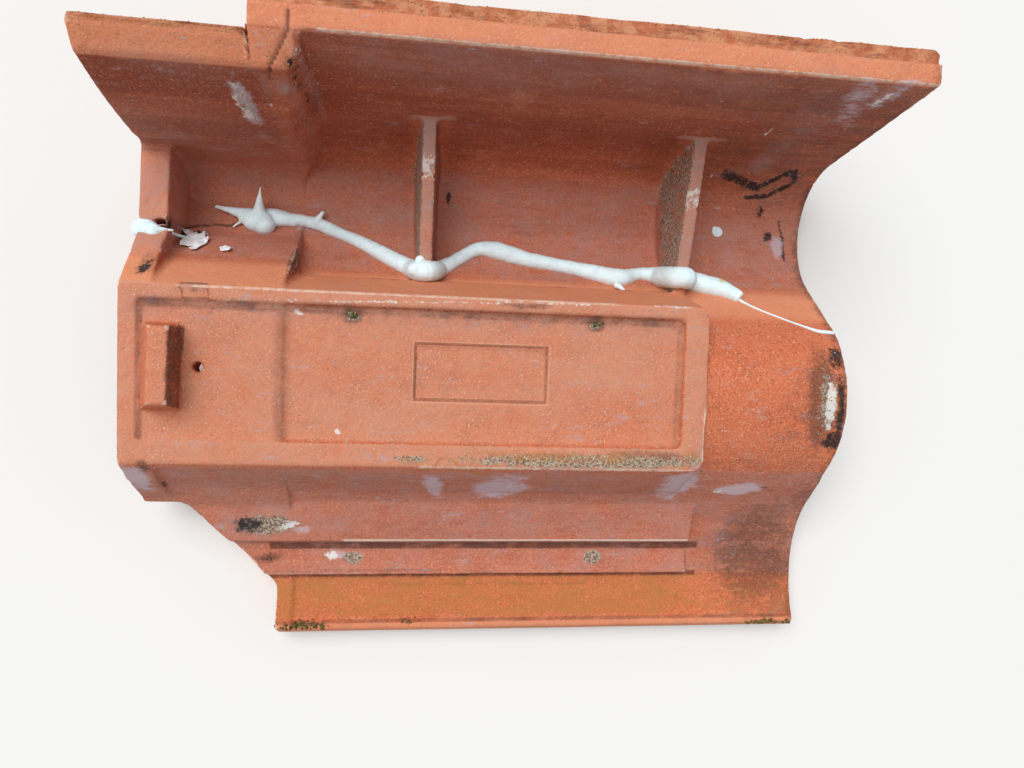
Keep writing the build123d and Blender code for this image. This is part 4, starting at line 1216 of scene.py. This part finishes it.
def block(section, *planes):
    """Solid over a section beside the shoulder, kept on the side each plane points to."""
    shell = bmesh.new()
    rings = [
        [shell.verts.new(Vector((x, y, z)) * MM) for y, z in section] for x in (STEP, STEP + 15.1)
    ]
    count = len(section)
    for n in range(count):
        m = (n + 1) % count
        shell.faces.new((rings[0][n], rings[0][m], rings[1][m], rings[1][n]))
    shell.faces.new(tuple(reversed(rings[0])))
    shell.faces.new(tuple(rings[1]))
    for place, way in planes:
        everything = shell.verts[:] + shell.edges[:] + shell.faces[:]
        bmesh.ops.bisect_plane(
            shell, geom=everything, plane_co=Vector(place) * MM, plane_no=way, clear_inner=True
        )
        bmesh.ops.holes_fill(shell, edges=shell.edges[:])
    bmesh.ops.recalc_face_normals(shell, faces=shell.faces[:])
    mesh = bpy.data.meshes.new("block")
    shell.to_mesh(mesh)
    shell.free()
    return piece("block", mesh)


class TileLook(bpy.types.PropertyGroup):
    """Colours and mesh sizes of the fired clay."""

    salmon: bpy.props.FloatVectorProperty(
        name="Salmon", description="Colour of the plain fired clay", subtype="COLOR",
        default=clay_linear(214, 113, 73), min=0, max=1,
    # Orange is also painted light on the slopes and rims that face the lamp
    )
    orange: bpy.props.FloatVectorProperty(
        name="Orange", description="Colour of the fresher slopes", subtype="COLOR",
        default=clay_linear(222, 112, 56), min=0, max=1,
    )
    # Deep is also painted shade on the flange wall and on faces turned from the lamp
    deep_and_shade: bpy.props.FloatVectorProperty(
        name="Deep", description="Colour of the weathered channel", subtype="COLOR",
        default=clay_linear(146, 66, 42), min=0, max=1,
    )
    cell: bpy.props.FloatProperty(
        name="Cell", description="Cell size of the worn surface, in millimetres", default=1.25,
        min=0.6, max=5,
    )
    triangles: bpy.props.IntProperty(
        name="Triangles", description="Most triangles of the worn surface", default=190000,
        min=20000,
    )


class GlueLook(bpy.types.PropertyGroup):
    """Colour and thickness of the squeezed-out glue."""

    glue: bpy.props.FloatVectorProperty(
        name="Glue", description="Colour of the dried glue", subtype="COLOR",
        default=clay_linear(228, 250, 255), min=0, max=1,
    )
    dry: bpy.props.FloatVectorProperty(
        name="Dry glue", description="Colour of the loose skins of glue", subtype="COLOR",
        default=clay_linear(248, 252, 255), min=0, max=1,
    )
    cell: bpy.props.FloatProperty(
        name="Cell", description="Cell size of the glue's surface, in millimetres", default=0.55,
        min=0.3, max=2,
    )


class GrainLook(bpy.types.PropertyGroup):
    """Number of crumbs, grains and tufts."""

    crumbs: bpy.props.FloatProperty(
        name="Crumbs", description="Clay crumbs on each square millimetre of broken lip",
        default=0.25, min=0, max=2,
    )
    sand: bpy.props.FloatProperty(
        name="Sand", description="Sand grains on each square millimetre of dirt", default=0.5,
        min=0, max=2,
    )
    moss: bpy.props.FloatProperty(
        name="Moss", description="Tufts on each square millimetre of moss", default=0.6,
        min=0, max=2,
    )


class StageLook(bpy.types.PropertyGroup):
    """Floor, light and camera."""

    floor: bpy.props.FloatVectorProperty(
        name="Floor", description="Colour of the floor", subtype="COLOR",
        default=clay_linear(232, 231, 228), min=0, max=1,
    )
    lens: bpy.props.FloatProperty(
        name="Lens", description="Focal length on a 36 mm wide sensor", default=26.0156,
        unit="CAMERA",
    )
    sun: bpy.props.FloatProperty(
        name="Sun", description="Strength of the soft lamp", default=2.6, min=0,
    )
    softness: bpy.props.FloatProperty(
        name="Softness", description="Width of the lamp as seen from the tile",
        default=radians(46), subtype="ANGLE",
    )


class TILE_OT_clay(bpy.types.Operator):
    """Make the worn clay tile from the solid one"""

    bl_idname = "roof_tile.clay"
    bl_label = "Clay tile"

    def execute(self, context):
        look = context.scene.tile_look
        obj = piece("clay_tile", joined_copy("roof_tile"))
        self.open_shoulder(obj)
        mesh = remeshed(obj, look.cell)
        move_to(mesh, raise_head_lip(millimetres(mesh)))
        points, normals = millimetres(mesh), normals_of(mesh)
        move_to(mesh, wear_clay(points, normals, edge_pairs(mesh)))
        marked = np.zeros(len(points))
        for _, x, y, rx, ry, turn, _ in MARKS:
            if rx * ry < BROAD_MARK:
                marked = np.maximum(marked, spot(points, x, y, rx + 1.5, ry + 1.5, turn))
        for _, width, _, line in STROKES:
            marked = np.maximum(marked, stroke(points, line, width + 2))
        plain = (marked < 0.02) | (normals[:, 2] < 0.1)
        mesh = thinned(obj, look.triangles, plain)
        points, normals, pairs = millimetres(mesh), normals_of(mesh), edge_pairs(mesh)
        for name, values in zones(points, normals).items():
            layer(mesh, name, values)
        out = bulge(points, normals, pairs)
        layer(mesh, "wear", ease(spread_out(out, pairs, 1), 0.05, 0.3))
        # Inner corners, darkened in the clay as painted shade
        layer(mesh, "corner", ease(spread_out(-out, pairs, 2), 0.04, 0.25))
        shade_smooth(mesh)
        mesh.materials.clear()
        mesh.materials.append(clay_finish(look))
        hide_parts("roof_tile")
        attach(obj, "root")
        return {"FINISHED"}

    def open_shoulder(self, obj):
        """Cut the filling beside the shoulder back to its two short ramps."""
        mesh = obj.data
        tree = BVHTree.FromPolygons(
            [vertex.co.copy() for vertex in mesh.vertices],
            [tuple(face.vertices) for face in mesh.polygons],
        )
        middle = Vector((-90.0, ROLL_MIDDLE, 78.0)) * MM
        section = []
        for angle in np.linspace(51.2, -178.0, 120):
            way = Vector((0, cos(radians(angle)), sin(radians(angle))))
            hit = tree.ray_cast(middle, way)[0]
            if hit is None:
                raise RuntimeError("the main channel has no wall to measure")
            section.append(((hit.y / MM - 0.05 * way.y), (hit.z / MM - 0.05 * way.z)))
        section += [(PANEL_TOP, 79.2), (PANEL_TOP, 150.0), (138.3, 150.0)]
        cutters = (
            block(section, ((0, ROLL_MIDDLE, 0), (0, 1, 0)), ((STEP, 105, 20), (1, -0.77, 0.059))),
            block(section, ((0, ROLL_MIDDLE, 0), (0, -1, 0)), ((STEP, 37, 79), (1, 0.21, 0.14))),
        )
        for cutter in cutters:
            cut = obj.modifiers.new("cut", "BOOLEAN")
            cut.operation = "DIFFERENCE"
            cut.solver = "EXACT"
            cut.object = cutter
        if not len(settled(obj).polygons):
            raise RuntimeError("cutting the shoulder left nothing of the tile")
        for cutter in cutters:
            bpy.data.objects.remove(cutter)


class TILE_OT_glue(bpy.types.Operator):
    """Run the repair glue along the crack"""

    bl_idname = "roof_tile.glue"
    bl_label = "Repair glue"

    def execute(self, context):
        look = context.scene.glue_look
        finish = glue_finish("repair_glue", tuple(look.glue))
        dry = glue_finish("dry_glue", tuple(look.dry))
        tree = surface_tree()
        strands = strand_steps()

        stations = between(BEAD, 0.9)
        wobble = np.column_stack((stations[:, :2], np.zeros(len(stations))))
        stations[:, 2] *= 0.9 + 0.2 * rough(wobble, (6, 6, 6), 31)
        stations[:, 3] *= 0.9 + 0.2 * rough(wobble, (5, 5, 5), 32)
        bead_line = laid_strand(on_surface(tree, stations[:, :2], stations[:, 2:], 9), 0.35)
        tips = [tapered(*spike) for spike in SPIKES]
        bead = self.fused("glue_bead", strands, [bead_line, *tips], LUMPS, look.cell, 41)
        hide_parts("adhesive_bead")

        tips = [tapered(*spike) for spike in BLOB_SPIKES]
        blob = self.fused("glue_blob", strands, tips, BLOB_LUMPS, look.cell, 51)
        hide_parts("adhesive_blob")

        lines = []
        for route, lift, smooth in STRINGS:
            stations = between(route, 1.0)
            lines.append(laid_strand(on_surface(tree, stations[:, :2], stations[:, 2:], smooth), lift))
        string = piece("glue_string", line_mesh("glue_string", lines))
        shade_smooth(strands.run(string, Sides=10, Material=finish))

        lumps = []
        for x, y, rx, ry, h in DABS:
            place, _ = drop(tree, x, y)
            lumps.append(((x, y, place[2] + 0.1), (rx, ry, h)))
        dab = self.fused("glue_dab", strands, [], lumps, look.cell, 61)
        flakes = piece("glue_flakes", self.flakes(tree), dry)
        for obj in (bead, blob, dab):
            obj.data.materials.append(finish)
        for obj in (bead, blob, string, dab, flakes):
            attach(obj, "root")
        return {"FINISHED"}

    def fused(self, name, strands, lines, lumps, cell, seed):
        """One skin over strands and lumps of glue."""
        obj = piece(name, line_mesh(name, lines))
        if lines:
            strands.run(obj, Sides=16)
        shell = bmesh.new()
        shell.from_mesh(obj.data)
        for middle, radii in lumps:
            lump(shell, middle, radii)
        shell.to_mesh(obj.data)
        shell.free()
        glue_skin(obj, cell, seed).materials.clear()
        return obj

    def skin(self, shell, tree, x, y, rx, ry, turn, seed):
        """One torn skin: a grid of places above the clay, with its outer ones left out."""
        c, s = cos(radians(turn)), sin(radians(turn))
        n = SKIN_GRID
        grid = [[None] * n for _ in range(n)]
        for i in range(n):
            for j in range(n):
                u, v = 2 * i / (n - 1) - 1, 2 * j / (n - 1) - 1
                px = x + u * rx * c - v * ry * s
                py = y + u * rx * s + v * ry * c
                here = np.array([[px, py, seed * 13.0]])
                torn = 0.25 + 1.2 * swell(here, (3.1, 3.1, 3.1), 71)[0]
                if u * u + v * v > torn:
                    continue
                place, normal = drop(tree, px, py)
                high = 0.7 + 4.0 * abs(swell(here, (3.0, 3.0, 3.0), 72)[0] - 0.5) + 0.9 * (u * u)
                grid[i][j] = shell.verts.new(Vector(place + normal * high) * MM)
        for i in range(n - 1):
            for j in range(n - 1):
                corners = (grid[i][j], grid[i + 1][j], grid[i + 1][j + 1], grid[i][j + 1])
                if all(corners):
                    shell.faces.new(corners)

    def flakes(self, tree):
        """Thin crumpled skins of glue that lie loose beside the crack."""
        shell = bmesh.new()
        for row in SKINS:
            self.skin(shell, tree, *row)
        loose = [vertex for vertex in shell.verts if not vertex.link_faces]
        bmesh.ops.delete(shell, geom=loose, context="VERTS")
        mesh = bpy.data.meshes.new("glue_flakes")
        shell.to_mesh(mesh)
        shell.free()
        obj = piece("flake_skins", mesh)
        thick = obj.modifiers.new("thick", "SOLIDIFY")
        thick.thickness = SKIN_THICKNESS * MM
        thick.offset = 0
        smooth = obj.modifiers.new("smooth", "SUBSURF")
        smooth.levels = smooth.render_levels = 1
        mesh = settled(obj)
        bpy.data.objects.remove(obj)
        shade_smooth(mesh)
        return mesh


class TILE_OT_grains(bpy.types.Operator):
    """Strew crumbs, sand and moss over the worn clay"""

    bl_idname = "roof_tile.grains"
    bl_label = "Crumbs, sand and moss"

    def execute(self, context):
        look = context.scene.grain_look
        steps = scatter_steps()
        crumb = crust_finish("clay_crumbs", clay_linear(176, 104, 70), clay_linear(226, 156, 116), 2.0)
        sand = crust_finish("sand", clay_linear(150, 126, 96), clay_linear(222, 206, 170), 1.6)
        moss = crust_finish("moss", clay_linear(58, 56, 26), clay_linear(118, 112, 52), 2.2)
        for name, mask, density, size, seed, finish in (
            ("lip_crumbs", "broken", look.crumbs, 0.36, 3, crumb),
            ("sand_grains", "grains", look.sand, 0.42, 5, sand),
            ("moss_tufts", "tufts", look.moss, 0.75, 7, moss),
        ):
            obj = piece(name, bpy.data.objects["clay_tile"].data.copy())
            mesh = steps.run(
                obj, Layer=mask, Density=density * 1e6, Size=size * MM, Seed=seed, Material=finish
            )
            if not len(mesh.polygons):
                raise RuntimeError(f"no grains were strewn for {name}")
            move_to(mesh, millimetres(mesh))
            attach(obj, "root")
        return {"FINISHED"}


class TILE_OT_stage(bpy.types.Operator):
    """Set the floor, the light and the camera"""

    bl_idname = "roof_tile.stage"
    bl_label = "Stage"

    def execute(self, context):
        look = context.scene.stage_look
        scene = context.scene
        view = bpy.data.cameras.new("view")
        view.sensor_width = 36
        view.lens = look.lens
        camera = bpy.data.objects.new("camera", view)
        scene.collection.objects.link(camera)
        turn = Matrix((CAMERA_RIGHT, CAMERA_UP, CAMERA_BACK)).transposed().to_4x4()
        camera.matrix_world = Matrix.Translation(CAMERA_PLACE) @ turn
        scene.camera = camera

        mesh = bpy.data.meshes.new("floor")
        far, level = 4.0, -0.3 * MM
        corners = [(-far, -far, level), (far, -far, level), (far, far, level), (-far, far, level)]
        mesh.from_pydata(corners, [], [(0, 1, 2, 3)])
        floor = piece("floor", mesh, floor_finish(look))

        sun = bpy.data.lights.new("key", "SUN")
        sun.energy = look.sun
        sun.angle = look.softness
        key = bpy.data.objects.new("key", sun)
        scene.collection.objects.link(key)
        towards = Vector((-0.36, 0.36, 1.0)).normalized()
        key.matrix_world = towards.to_track_quat("Z", "Y").to_matrix().to_4x4()

        world = bpy.data.worlds.new("soft_light")
        world.use_nodes = True
        nodes = world.node_tree.nodes
        links = world.node_tree.links
        light = (0.432, 0.446, 0.46, 1)
        white = (0.95, 0.95, 0.945, 1)
        ray = nodes.new("ShaderNodeLightPath")
        seen = nodes.new("ShaderNodeMix")
        seen.data_type = "RGBA"
        seen.inputs[6].default_value = light
        seen.inputs[7].default_value = white
        links.new(ray.outputs["Is Camera Ray"], seen.inputs[0])
        links.new(seen.outputs[2], nodes["Background"].inputs["Color"])
        scene.world = world
        scene.view_settings.view_transform = "Standard"
        return {"FINISHED"}


class TILE_PT_pieces(bpy.types.Panel):
    """Pieces of the roof tile"""

    bl_label = "Roof tile"
    bl_idname = "TILE_PT_pieces"
    bl_space_type = "VIEW_3D"
    bl_region_type = "UI"
    bl_category = "Roof tile"

    def draw(self, context):
        for name in LOOKS:
            group = getattr(context.scene, name)
            for key in group.__annotations__:
                self.layout.prop(group, key)
        for operator in OPERATORS:
            self.layout.operator(operator.bl_idname)


OPERATORS = (TILE_OT_stage, TILE_OT_clay, TILE_OT_grains, TILE_OT_glue)
LOOKS = {
    "tile_look": TileLook,
    "grain_look": GrainLook,
    "glue_look": GlueLook,
    "stage_look": StageLook,
}


def register():
    for look in LOOKS.values():
        bpy.utils.register_class(look)
    for operator in OPERATORS:
        bpy.utils.register_class(operator)
    bpy.utils.register_class(TILE_PT_pieces)
    for name, look in LOOKS.items():
        setattr(bpy.types.Scene, name, bpy.props.PointerProperty(type=look))


def unregister():
    for name in LOOKS:
        delattr(bpy.types.Scene, name)
    bpy.utils.unregister_class(TILE_PT_pieces)
    for operator in reversed(OPERATORS):
        bpy.utils.unregister_class(operator)
    for look in reversed(tuple(LOOKS.values())):
        bpy.utils.unregister_class(look)


def main():
    register()
    bpy.ops.roof_tile.stage()
    bpy.ops.roof_tile.clay()
    bpy.ops.roof_tile.grains()
    bpy.ops.roof_tile.glue()


if __name__ == "__main__":
    main()
